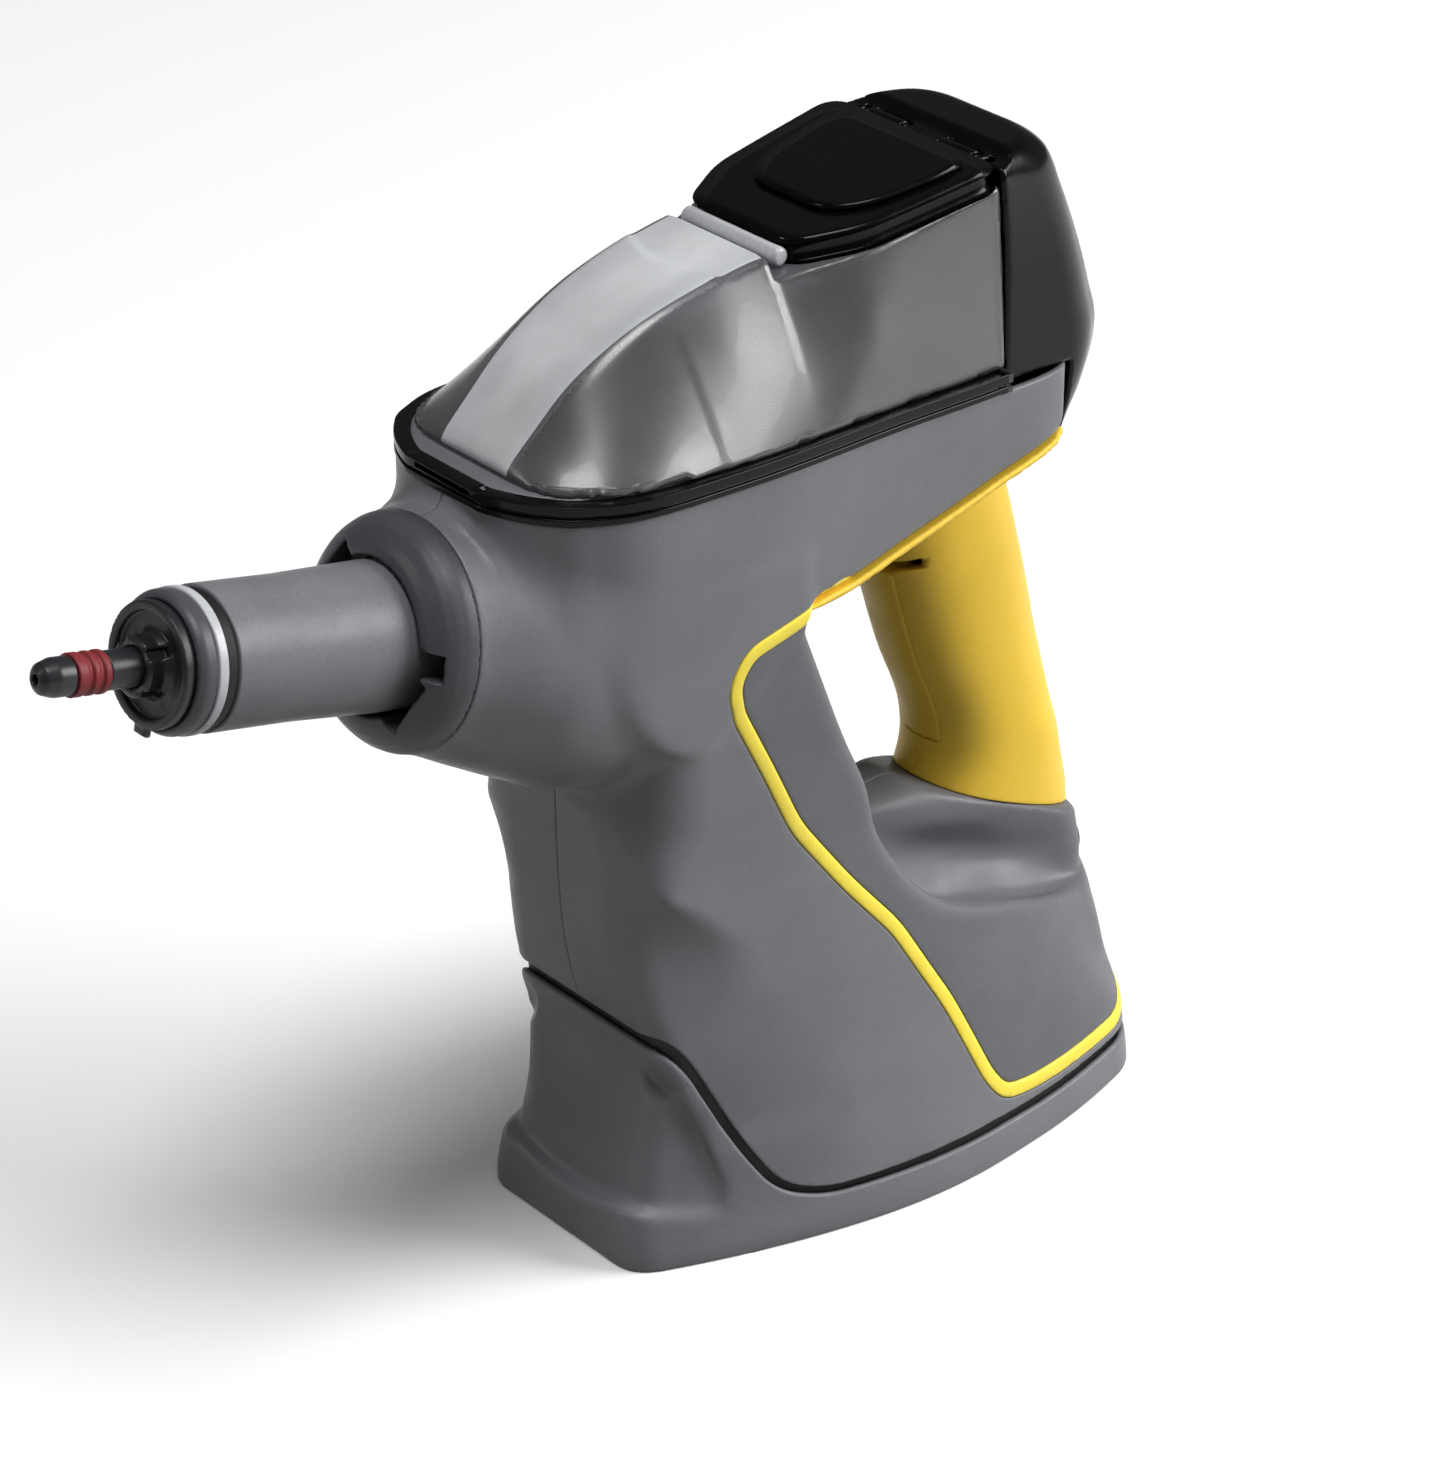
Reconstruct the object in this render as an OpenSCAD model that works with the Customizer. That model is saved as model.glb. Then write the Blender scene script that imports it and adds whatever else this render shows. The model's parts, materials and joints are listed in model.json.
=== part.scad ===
// Handheld steamer: pistol-shaped housing on a flared base, with a clear water
// tank on top, a steam nozzle in front and a closed handle behind.
// Millimetres. The origin is the middle of the standing face, +X towards the
// nozzle, +Y to the left of a user who looks along the nozzle, +Z up.

/* [Base] */
// Front edge of the base, ahead of the origin
base_front = 83; // [80:1:90]
// Rear edge of the base, behind the origin
base_rear = 88; // [86:1:94]
// Greatest width of the base
base_w = 108; // [104:1:116]
// Thickness of the plate that closes the base
base_plate_t = 3; // [2.5:0.5:4]
// Radius of each rubber pad
pad_r = 7; // [5:0.5:9]
// Height of the parting line above the standing face, at the rear
skirt_h = 10; // [8:0.5:12]

/* [Housing] */
// Width of the column at its waist
waist_w = 71; // [68:1:76]
// Width of the deck that carries the tank
deck_w = 77; // [75:1:80]
// Wall of the housing halves
wall = 3; // [2.6:0.2:3.6]
// Thickness of the side panels and trim that lie in the housing
skin_t = 1.2; // [0.8:0.1:1.4]
// Width of the yellow trim line
trim_w = 3.2; // [2:0.2:5]

/* [Handle] */
// Width of the grip
grip_w = 33; // [30:0.5:36]
// Wall of the grip halves
grip_wall = 2.4; // [2:0.2:3]
// Width of the trigger
trigger_w = 14; // [12:0.5:16]
// Length of the trigger above its pin
trigger_len = 64; // [56:1:68]
// Turn of the trigger from rest to fully squeezed, in degrees
trigger_travel = 6; // [4:0.5:7]
// Radius of the trigger pin
trigger_pin_r = 1.5; // [1:0.1:2]

/* [Nozzle] */
// Upward pitch of the nozzle, in degrees
nose_pitch = 13.6; // [12:0.2:15]
// Radius of the nozzle tube over its front, where attachments fit
nozzle_r = 16.5; // [15.5:0.1:17]
// Length of the nozzle tube ahead of the nose ring's centre plane
nozzle_len = 54; // [48:1:64]
// Wall of the nozzle tube
nozzle_wall = 2.5; // [1.6:0.1:3]
// Radius of the steam spigot at the tip
spigot_r = 4.4; // [4:0.1:5]
// Length of the spigot ahead of the end cap
spigot_len = 29; // [26:1:34]
// Outer radius of the nose ring
nose_ring_r = 28; // [27:0.5:29]

/* [Tank] */
// Height of the tank above the edge of the deck, where the lid begins
tank_h = 44.8; // [43:0.2:48]
// Wall of the clear tank
tank_wall = 2; // [1.6:0.1:2.6]
// Height of the black rim under the tank
rim_h = 5; // [4:0.5:6]
// Radius of the filler opening
filler_r = 12; // [9:0.5:13]
// Thickness of the lid
lid_t = 5; // [4:0.5:6]
// Greatest opening of the lid, in degrees
lid_open = 95; // [80:1:100]
// Radius of the lid pin
lid_pin_r = 1.25; // [1:0.05:1.5]

/* [Inside] */
// Radius of the boiler
boiler_r = 19; // [16:0.5:20]
// Length of the boiler
boiler_len = 66; // [55:1:70]
// Radius of the pump barrel
pump_r = 12; // [10:0.5:14]
// Length of the pump barrel
pump_len = 44; // [36:1:50]
// Stroke of the pump plunger
pump_stroke = 2; // [1:0.5:3]
// Outer radius of the water hoses
hose_r = 3; // [2.5:0.25:3.5]
// Radius of the bore that the mains cord passes through
cord_bore_r = 3.6; // [3:0.1:4.2]

/* [Hidden] */

eps = 0.01;
gap = 0.3;        // clearance between pieces that are assembled by hand
slit = 0.1;       // slit between skins that lie edge to edge
running = 0.05;   // radial clearance of a pin that turns or slides
fine = 64;        // facets of round parts
big = 400;        // reach of a cutting block

// ---------- outline helpers ----------

function unit(v) = v / norm(v);

// Inward normal of the edge a-b of an outline that runs counter-clockwise
function inward(a, b) = unit([a.y - b.y, b.x - a.x]);

// Where a corner between edges with normals m and n lies once they move inwards by d
function mitre(b, m, n, d) = b + d * (m + n) / (1 + m * n);

// An outline with every edge moved inwards by d, then every corner rounded
function inset_outline(pts, d) =
    let (k = len(pts))
    [for (i = [0:k - 1])
        mitre(pts[i], inward(pts[(i + k - 1) % k], pts[i]), inward(pts[i], pts[(i + 1) % k]), d)];

function rounded(pts, r, steps = 2) =
    let (k = len(pts))
    [for (i = [0:k - 1])
        let (m = inward(pts[(i + k - 1) % k], pts[i]), n = inward(pts[i], pts[(i + 1) % k]),
             o = mitre(pts[i], m, n, r))
        each [for (j = [0:steps]) o - r * unit(m + (n - m) * j / steps)]];

// A half outline, front to rear at +Y, completed with its mirror image
function both_sides(half) =
    concat(half, [for (i = [len(half) - 1:-1:0]) [half[i].x, -half[i].y]]);

// A skin through rings with the same number of points, closed at both ends
module skin(rings) {
    n = len(rings[0]);
    m = len(rings);
    polyhedron(
        points = [for (r = rings) each r],
        faces = concat(
            [[for (i = [0:n - 1]) i]],
            [for (j = [0:m - 2], i = [0:n - 1])
                [j * n + i, (j + 1) * n + i, j * n + (i + 1) % n]],
            [for (j = [0:m - 2], i = [0:n - 1])
                [j * n + (i + 1) % n, (j + 1) * n + i, (j + 1) * n + (i + 1) % n]],
            [[for (i = [n - 1:-1:0]) (m - 1) * n + i]]));
}

function shrunk(pts, d, r, steps = 2) = rounded(inset_outline(pts, d), r, steps);

// Rings in space from outlines, at height z and at station x
function ring_z(z, pts) = [for (p = pts) [p.x, p.y, z]];
function ring_x(x, pts) = [for (p = pts) [x, p.x, p.y]];

// Convex blocks between neighbouring rings
module loft(rings) {
    for (i = [0:len(rings) - 2])
        hull() skin([rings[i], rings[i + 1]]);
}

// A side-view outline of [x, z] points, cut through the whole width
module side_cut(pts) {
    rotate([90, 0, 0]) linear_extrude(2 * big, center = true) polygon(pts);
}

module left_half() {
    intersection() {
        children();
        translate([-big, slit / 2, -big]) cube([2 * big, big, 2 * big]);
    }
}

module right_half() {
    intersection() {
        children();
        translate([-big, -big - slit / 2, -big]) cube([2 * big, big, 2 * big]);
    }
}

// A path with every inner corner replaced by a soft bend
function bent(pts, reach) =
    let (m = len(pts) - 1)
    [pts[0],
     for (i = [1:m - 1])
        let (a = pts[i - 1] - pts[i], c = pts[i + 1] - pts[i],
             d = min(reach, 0.48 * norm(a), 0.48 * norm(c)),
             p = pts[i] + d * unit(a), q = pts[i] + d * unit(c))
        each [for (t = [0:0.25:1]) (1 - t) * (1 - t) * p + 2 * t * (1 - t) * pts[i] + t * t * q],
     pts[m]];

// A round hose along a path that never runs straight along hose_ref
hose_bend = 12;
hose_ref = [1, 0, -1];
function hose_ring(path, i, r) =
    let (t = unit(path[min(i + 1, len(path) - 1)] - path[max(i - 1, 0)]),
         u = unit(cross(t, hose_ref)), v = cross(t, u))
    [for (k = [0:11]) path[i] + r * (cos(30 * k) * u + sin(30 * k) * v)];

module hose(pts, r) {
    path = bent(pts, hose_bend);
    skin([for (i = [0:len(path) - 1]) hose_ring(path, i, r)]);
}

// ---------- frames ----------

nose = [130.2, 0, 186.4];             // middle of the nose ring, on the nozzle axis
module nose_frame() {
    translate(nose) rotate([0, 90 - nose_pitch, 0]) children();
}
function on_axis(s) = nose + s * [cos(nose_pitch), 0, sin(nose_pitch)];

grip_lean = 16;                        // lean of the grip's front
trigger_pivot = [-43, 0, 91];
module trigger_place() {
    translate(trigger_pivot) rotate([0, grip_lean, 0]) children();
}

// ---------- form of the housing ----------

// Front edge, half-width and bow plane of the column by height
front_line = [[0, base_front], [14, base_front - 1], [22, base_front - 4],
    [40, base_front - 7.5], [58, base_front - 9], [75, base_front - 5],
    [90, base_front - 2.5], [140, base_front - 1], [180, base_front - 1]];
side_line = [[0, base_w / 2], [12, base_w / 2 - 3], [30, base_w / 2 - 7],
    [60, waist_w / 2 + 5.5], [89, waist_w / 2 + 1], [110, waist_w / 2 - 0.5],
    [140, waist_w / 2 + 0.5], [170, deck_w / 2 - 0.5], [200, deck_w / 2]];
bow_line = [[0, 66.3], [10, 65], [20, 62.5], [35, 60.5], [90, 60.3], [108, 64],
    [122, 71], [140, 78], [180, 82]];
bow = [0.547, 0.837];                  // plan direction that the bow planes face
shoulder_line = [[0, 0.8], [15, 0.84], [30, 0.9], [60, 0.93], [90, 0.95], [180, 0.98]];

function bow_y(x, z) = (lookup(z, bow_line) - bow.x * x) / bow.y;
function bow_x(y, z) = (lookup(z, bow_line) - bow.y * y) / bow.x;

// Plan outline of the foot at height z: front, shoulder, side, rear corner
function foot_outline(z) =
    let (w = lookup(z, side_line), f = lookup(z, front_line),
         s = lookup(z, shoulder_line) * w,
         q = lookup(z, [[0, 0.92], [30, 0.96], [60, 0.97]]),
         a = lookup(z, [[0, 0.99], [45, 0.97], [58, 0.93]]),
         b = lookup(z, [[0, 0.89], [14, 0.89], [30, 0.84], [45, 0.70], [58, 0.48]]),
         c = lookup(z, [[0, 0.79], [14, 0.79], [30, 0.62], [45, 0.48], [58, 0.36]]),
         e = lookup(z, [[0, 0], [14, 1], [35, 1], [58, -2]]))
    both_sides([[f, bow_y(f, z)], [bow_x(s, z), s], [31, q * w], [0, w], [-38, a * w],
        [-67, b * w], [-80, c * w], [-base_rear - e, 0.45 * c * w]]);

// Rear face of the pillar in front of the fingers, by height
pillar_line = [[58, -52], [62, -42], [66, -30], [71, -18], [77, -7], [90, 2],
    [100, 7.4], [115, 11.4], [131, 19], [148, 26.4], [168, 35], [180, 40]];

function pillar_outline(z) =
    let (w = lookup(z, side_line), f = lookup(z, front_line),
         s = lookup(z, shoulder_line) * w, p = lookup(z, pillar_line),
         n = lookup(z, [[58, 11], [66, 5], [77, 0]]))
    both_sides([[f, min(bow_y(f, z), s - 4)], [min(bow_x(s, z), f - 4), s],
        [max(32, p + 10), w], [p + 2, w - n], [p, w - n - 2]]);

// Half-width and ends of the neck that carries the grip
neck_line = [[46, 28], [55, 24], [62, 20], [70, 17.5], [80, 15.5], [88, 11]];
neck_top = 88;

// Face where the grip meets the neck, falling towards the rear
function collar_z(x) = 64 + 0.46 * (x + 82);

// Rim of the deck: height falls a little towards the rear
function rim_z(x) = 206 + 0.06 * (x + 54);
deck_line = [[-57, deck_w / 2 - 9.5], [-52, deck_w / 2 - 7], [-28, deck_w / 2 - 4.3],
    [5, deck_w / 2 - 2.9], [39, deck_w / 2 - 0.5], [55, deck_w / 2], [70, deck_w / 2],
    [87, deck_w / 2 - 1.5], [95, deck_w / 2 - 4.5], [103, deck_w / 2 - 9.5],
    [112, deck_w / 2 - 23.5]];
deck_rear = -57;
deck_tip = 112;

// Underside of the deck, above the fingers
under_line = [[-60, 188.4], [-57, 187.9], [-30, 183.8], [-5, 179], [17, 175], [39, 172.4],
    [55, 160], [70, 150], [87, 160], [95, 178], [103, 190], [112, 203]];
function under_z(x) = lookup(x, under_line);

deck_xs = [deck_rear, -52, -28, 5, 39, 55, 70, 87, 95, 103, deck_tip];
foot_top = 58;
foot_drop = 4;                         // the foot's form runs on below the standing face
rim_over = 8;                          // and the deck's form above the rim
foot_zs = [0, 12, 22, 35, 48, foot_top];
pillar_zs = [62, 66, 71, 77, 90, 100, 115, 131, 148, 168, 180];
neck_zs = [30, 46, 55, 62, 70, 80, neck_top];

function deck_outline(x, low, high) =
    let (w = lookup(x, deck_line))
    [[-w, high], [-w, low + 6], [-w + 3, low], [w - 3, low], [w, low + 6], [w, high]];

// Chords of a rounded corner: fewer where nobody sees them
function steps(inset) = inset < wall / 2 ? 2 : 1;

module foot(inset) {
    loft([for (z = foot_zs)
        ring_z(z == 0 ? -foot_drop : min(z, foot_top - inset),
            shrunk(foot_outline(z), inset, 6, steps(inset)))]);
}

module pillar(inset) {
    loft([ring_z(foot_top - 2 * inset - 1,
            shrunk(pillar_outline(foot_top), inset + 0.8, 2, steps(inset))),
        for (z = pillar_zs) ring_z(z, shrunk(pillar_outline(z), inset, 2, steps(inset)))]);
}

module neck(inset) {
    intersection() {
        loft([for (z = neck_zs)
            ring_z(z - inset, shrunk(both_sides([[8, lookup(z, neck_line)],
                [-78, lookup(z, neck_line)], [-base_rear + 2, 6]]), inset, 4))]);
        side_cut([[-big, 0], [big, 0], [big, collar_z(big) - 1.1 * inset],
            [-big, collar_z(-big) - 1.1 * inset]]);
    }
}

module deck(inset) {
    loft([for (x = deck_xs)
        ring_x(x == deck_rear ? x + inset : x,
            shrunk(deck_outline(x, under_z(x), rim_z(x) + rim_over), inset, 1, 2))]);
}

// The barrel flares from the nose ring into the deck
module barrel(inset, reach) {
    intersection() {
        nose_frame()
            rotate_extrude($fn = inset < wall / 2 ? 48 : 32)
                polygon([[0, reach], [nose_ring_r - inset, reach],
                    [nose_ring_r - inset, -4.7], [nose_ring_r + 5 - inset, -20],
                    [nose_ring_r + 10 - inset, -35], [nose_ring_r + 14 - inset, -50],
                    [nose_ring_r + 14 - inset, -72], [0, -72]]);
        translate([0, inset + 0.4 - deck_w / 2, 0]) cube([big, deck_w - 0.8 - 2 * inset, big]);
    }
}

// Whole outer form, or its hollow when inset is the wall, open past the rim and the foot
module form(inset = 0, reach = -4.7) {
    foot(inset);
    pillar(inset);
    neck(inset);
    deck(inset);
    barrel(inset, reach);
}

module below_rim() {
    side_cut([[-big, 0], [big, 0], [big, rim_z(big)], [-big, rim_z(-big)]]);
}

// Everything above the parting line between housing and base
parting = [[big, 61], [73, 61], [64.4, 51], [53.8, 27], [45.7, skirt_h + 7],
    [30.5, skirt_h + 2.5], [0, skirt_h + 0.5], [-40, skirt_h], [-big, skirt_h]];
module above_parting(lift) {
    rotate([90, 0, 0])
        linear_extrude(2 * big, center = true)
            offset(delta = -lift)
                polygon(concat(parting, [[-big, big], [big, big]]));
}

// Middle line of the trim, closed through the empty finger gap
trim_path = [[41.7, 171], [54.1, 168.5], [58.3, 161], [56.2, 153.3], [45.9, 134],
    [35.6, 113.3], [19.4, 91.4], [5, 73.9], [-8.9, 49], [-20, 23], [-25, 16.5],
    [-35, 15], [-47, 14.6], [-73, 14.5], [-84, 18], [-90, 25], [-110, 34],
    [-110, 96], [-4, 96], [33, 173]];
module trim_zone(grow) {
    rotate([90, 0, 0])
        linear_extrude(2 * big, center = true)
            offset(delta = grow) polygon(trim_path);
}

skirt_wall = wall * 0.55;
cord_z = 47;                           // height of the cord inlet
cord_body_r = cord_bore_r + 2;
cord_flange_t = 2.4;
inlet_out = -base_rear - 2.5;          // outer end of the cord inlet
module cord_hole(extra) {
    translate([inlet_out, 0, cord_z])
        rotate([0, 90, 0]) {
            cylinder(h = 20, r = cord_body_r + extra, $fn = 32);
            translate([0, 0, -10])
                cylinder(h = 10 + cord_flange_t + extra, r = cord_body_r + 2 + extra, $fn = 32);
        }
}

// Where screws cross from the right half into the left, as [x, z]
screw_places = [[76, 160], [22, 188], [-46, 197], [66, 68], [30, 40], [-80, 19]];
screw_head_y = -14;
screw_tip_y = 12;
screw_r = 1.5;
screw_head_r = 2.9;

// ---------- housing ----------

boiler_x = 51;
boiler_z = 74;                         // underside of the boiler
pump_x = -33;                          // middle of the pump
pump_z = 28;
rib_t = 2.4;
tank_hose_down = [40, 27];             // where the tank hose runs down beside the boiler
boiler_hose_up = 17;                   // and the boiler hose runs up behind it
tube_root_r = nozzle_r + 0.8;

module rib_plates() {
    difference() {
        union() {
            for (z = [boiler_z - slit - rib_t, boiler_z + boiler_len - 12])
                translate([0, -big / 2, z]) cube([big, big, rib_t]);
            for (x = [pump_x - pump_len / 2 + 5, pump_x + pump_len / 2 - 5])
                translate([x, -big / 2, skirt_h]) cube([rib_t, big, 34]);
            nose_frame() translate([0, 0, -24]) cylinder(h = rib_t, r = 60, $fn = 24);
        }
        translate([boiler_x, 0, boiler_z]) cylinder(h = big, r = boiler_r + gap, $fn = 40);
        translate([boiler_x, 0, 0]) cylinder(h = big, r = 9, $fn = 24);
        translate([pump_x - big / 2, 0, pump_z])
            rotate([0, 90, 0]) cylinder(h = big, r = pump_r + gap, $fn = 40);
        nose_frame() translate([0, 0, -40]) cylinder(h = 30, r = tube_root_r + gap, $fn = 40);
        translate([tank_hose_down.x, tank_hose_down.y, 0]) cylinder(h = 160, r = hose_r + 1.5, $fn = 20);
        translate([boiler_hose_up, 0, 50]) cylinder(h = 40, r = hose_r + 3, $fn = 20);
    }
}

// Posts that the base screws bite into, standing on the flange of the base
flange_z = base_plate_t + slit;
flange_h = 2;
post_z = flange_z + flange_h + slit;
base_screw_places = [[62, 13], [62, -13], [-49, 34], [-49, -34]];
module base_posts() {
    for (p = base_screw_places)
        translate([p.x, p.y, post_z])
            cylinder(h = (p.x > 0 ? boiler_z - rib_t : 26) - post_z, r = 4, $fn = 24);
}

module screw_bosses() {
    for (p = screw_places)
        translate([p.x, 0, p.y])
            rotate([90, 0, 0]) cylinder(h = big, r = screw_head_r + 2, center = true, $fn = 20);
}

module screw_holes() {
    for (p = screw_places) {
        translate([p.x, screw_tip_y + 1, p.y])
            rotate([90, 0, 0]) cylinder(h = big, r = screw_r + gap, $fn = 24);
        translate([p.x, screw_head_y, p.y])
            rotate([90, 0, 0]) cylinder(h = big, r = screw_head_r + gap, $fn = 24);
    }
}

// The shell ends at the parting line, but for a tongue that the skirt hides
module shell_bounds() {
    intersection() {
        above_parting(0.5);
        below_rim();
    }
    intersection() {
        above_parting(-4);
        form(skirt_wall + gap);
        translate([-big, -big, 0]) cube([2 * big, 2 * big, foot_top + 8]);
    }
}

module housing_body() {
    intersection() {
        difference() {
            union() {
                difference() {
                    form();
                    trim_zone(trim_w / 2);
                }
                form(skin_t + slit);
            }
            form(wall, reach = 1);
        }
        shell_bounds();
    }
    intersection() {
        form(wall - 0.4);
        above_parting(0.5);
        below_rim();
        union() {
            rib_plates();
            screw_bosses();
        }
    }
    base_posts();
}

module housing_cuts() {
    screw_holes();
    for (p = base_screw_places)
        translate([p.x, p.y, 0]) cylinder(h = 18, r = screw_r + gap, $fn = 24);
    cord_hole(slit);
}

module housing_left() {
    color("dimgray")
        left_half()
            difference() {
                housing_body();
                housing_cuts();
            }
}

module housing_right() {
    color("dimgray")
        right_half()
            difference() {
                housing_body();
                housing_cuts();
            }
}

module outer_skin() {
    intersection() {
        difference() {
            form();
            form(skin_t);
            cord_hole(slit);
        }
        below_rim();
        above_parting(0.5);
    }
}

module side_panel() {
    intersection() {
        outer_skin();
        trim_zone(-trim_w / 2 - slit);
    }
}

module side_panel_left() color("slategray") left_half() side_panel();
module side_panel_right() color("slategray") right_half() side_panel();

module trim() {
    intersection() {
        outer_skin();
        difference() {
            trim_zone(trim_w / 2 - slit);
            trim_zone(-trim_w / 2);
        }
    }
}

module trim_left() color("gold") left_half() trim();
module trim_right() color("gold") right_half() trim();

// ---------- base ----------

module base_skirt() {
    color("dimgray")
        difference() {
            union() {
                difference() {
                    form();
                    form(skirt_wall);
                    above_parting(-0.5);
                }
                intersection() {
                    form(skirt_wall / 2);
                    translate([0, 0, flange_z])
                        linear_extrude(flange_h)
                            difference() {
                                square(2 * big, center = true);
                                offset(r = 4) offset(delta = -29) polygon(foot_outline(0));
                            }
                }
            }
            translate([-big, -big, -big]) cube([2 * big, 2 * big, big]);
            for (p = base_screw_places)
                translate([p.x, p.y, 0]) cylinder(h = 9, r = screw_r + gap, $fn = 32);
        }
}

pad_t = 1.6;
pad_places = [[65, 24], [65, -24], [-66, 33], [-66, -33]];
base_head_r = 3;
base_head_t = 1.6;

module base_plate() {
    color("dimgray")
        difference() {
            linear_extrude(base_plate_t)
                polygon(shrunk(foot_outline(0), skirt_wall + 1.8, 4));
            for (p = pad_places)
                translate([p.x, p.y, -1]) cylinder(h = 1 + pad_t, r = pad_r + slit, $fn = fine);
            for (p = base_screw_places) {
                translate([p.x, p.y, -1]) cylinder(h = 9, r = screw_r + gap, $fn = 32);
                translate([p.x, p.y, -1])
                    cylinder(h = 1.4 + base_head_t, r = base_head_r + gap, $fn = 32);
            }
        }
}

module rubber_pads() {
    color("black")
        for (p = pad_places)
            translate([p.x, p.y, 0]) cylinder(h = pad_t, r = pad_r, $fn = fine);
}

module base_screws() {
    color("silver")
        for (p = base_screw_places)
            translate([p.x, p.y, 0.4]) {
                cylinder(h = base_head_t, r = base_head_r, $fn = 32);
                cylinder(h = 15, r = screw_r, $fn = 32);
            }
}

module housing_screws() {
    color("silver")
        for (p = screw_places)
            translate([p.x, screw_head_y, p.y])
                rotate([-90, 0, 0]) {
                    translate([0, 0, -1.8]) cylinder(h = 1.8 - slit, r = screw_head_r, $fn = 32);
                    translate([0, 0, -1]) cylinder(h = screw_tip_y - screw_head_y, r = screw_r, $fn = 32);
                }
}

// ---------- grip ----------

// Middle and half-depth of the grip by height
grip_mid = [[60, -57], [70, -57.5], [81, -58], [89, -58.6], [102, -56.3], [123, -49.2],
    [139, -44.6], [170, -35.6], [190, -30]];
grip_deep = [[60, 29.5], [70, 28], [81, 24], [89, 20.4], [102, 19.4], [123, 21.2],
    [139, 22], [170, 22.4], [190, 22.5]];
grip_zs = [60, 70, 81, 89, 102, 123, 139, 170, 190];

function grip_outline(z) =
    let (m = lookup(z, grip_mid), a = lookup(z, grip_deep), b = grip_w / 2)
    [for (t = [0:10:350])
        [m + a * sign(cos(t)) * pow(abs(cos(t)), 0.85),
         b * sign(sin(t)) * pow(abs(sin(t)), 0.85)]];

module grip_form(inset) {
    loft([for (z = grip_zs) ring_z(z, inset_outline(grip_outline(z), inset))]);
}

module grip_bounds(margin) {
    side_cut([[-110, collar_z(-110) + margin], [20, collar_z(20) + margin],
        for (x = [20, 5, -18, -40, -57]) [x, under_z(x) - margin],
        [-72, under_z(-57) - margin]]);
}

// Thin yellow flange under the deck
flange_t = 1.5;
module grip_flange() {
    intersection() {
        translate([0, 0, -flange_t - slit]) deck(0.8);
        side_cut([for (x = [34, 17, -5, -30, -56]) [x, under_z(x) - slit],
            for (x = [-56, -30, -5, 17, 34]) [x, under_z(x) - slit - flange_t]]);
    }
}

module trigger_slot() {
    trigger_place()
        translate([-9, -trigger_w / 2 - gap, -8])
            cube([30, trigger_w + 2 * gap, trigger_len + 13]);
}

module grip_body() {
    difference() {
        union() {
            intersection() {
                grip_form(0);
                grip_bounds(slit);
            }
            grip_flange();
        }
        grip_form(grip_wall);
        trigger_slot();
    }
}

module grip_left() color("gold") left_half() grip_body();
module grip_right() color("gold") right_half() grip_body();

// ---------- trigger group, drawn in the frame of the trigger ----------

lug_w = 8;                             // width of the trigger at its pin
cheek_t = 2;
cheek_y = lug_w / 2 + gap;             // inner face of the cheeks
frame_back = -21;
frame_top = trigger_len + 4;
pin_half = cheek_y + cheek_t;
tab_y = grip_w / 2 - grip_wall - 1.2;  // reach of the tabs that hold the frame in the grip
switch_z = 14;
switch_face = -9;                      // front face of the switch
plunger_r = 1.2;
plunger_travel = 1.5;
spring_z = 46;
spring_r = 3;
spring_wire = 0.45;
spring_turns = 6;
trigger_back = -3.5;                   // rear face of the trigger
spring_seat = 1.5;                     // depth of the spring's pocket in the trigger

module trigger_frame() {
    color("black")
        trigger_place()
            difference() {
                union() {
                    for (side = [-1, 1])
                        translate([0, side * (cheek_y + cheek_t / 2), 0])
                            rotate([90, 0, 0])
                                linear_extrude(cheek_t, center = true)
                                    polygon([[-4, -5], [3, -5], [3.4, 3], [-5, 9], [-14, 24],
                                        [-16, frame_top], [frame_back, frame_top],
                                        [frame_back, 6], [-13, -3]]);
                    translate([frame_back - cheek_t + eps, -pin_half, 6])
                        cube([cheek_t, 2 * pin_half, frame_top - 6]);
                    for (z = [20, frame_top - 14])
                        translate([frame_back - cheek_t + eps, -tab_y, z])
                            cube([cheek_t, 2 * tab_y, 5]);
                    translate([frame_back - eps, 0, spring_z])
                        rotate([0, 90, 0]) cylinder(h = 2.5, r = spring_r - 1, $fn = 32);
                }
                rotate([90, 0, 0])
                    cylinder(h = big, r = trigger_pin_r + running, center = true, $fn = fine);
            }
}

module trigger() {
    color("gold")
        trigger_place()
            difference() {
                union() {
                    rotate([90, 0, 0])
                        linear_extrude(lug_w, center = true)
                            polygon([[-3.2, -4], [2, -6], [4.4, -3], [4.4, 14], [trigger_back, 14],
                                [trigger_back, 0]]);
                    rotate([90, 0, 0])
                        linear_extrude(trigger_w, center = true)
                            polygon([[4.2, 7], [4, 18], [5.2, 36], [7, 52], [6.6, trigger_len - 2],
                                [4.5, trigger_len], [-1, trigger_len],
                                [trigger_back, trigger_len - 4], [trigger_back, 12], [0, 7]]);
                }
                rotate([90, 0, 0])
                    cylinder(h = big, r = trigger_pin_r + running, center = true, $fn = fine);
                translate([trigger_back - 1, 0, spring_z])
                    rotate([0, 90, 0]) cylinder(h = 1 + spring_seat, r = spring_r + 1, $fn = 32);
            }
}

module trigger_pin() {
    color("silver")
        trigger_place()
            rotate([90, 0, 0])
                cylinder(h = 2 * pin_half, r = trigger_pin_r, center = true, $fn = fine);
}

// A coil between the back of the frame and the trigger, as one tube
function coil_ring(t, length, turns) =
    let (a = 360 * turns * t, rim = spring_r - spring_wire)
    [for (i = [0:5])
        let (b = 60 * i, d = rim + spring_wire * cos(b))
        [length * t + spring_wire * sin(b), d * cos(a), d * sin(a)]];

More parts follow.
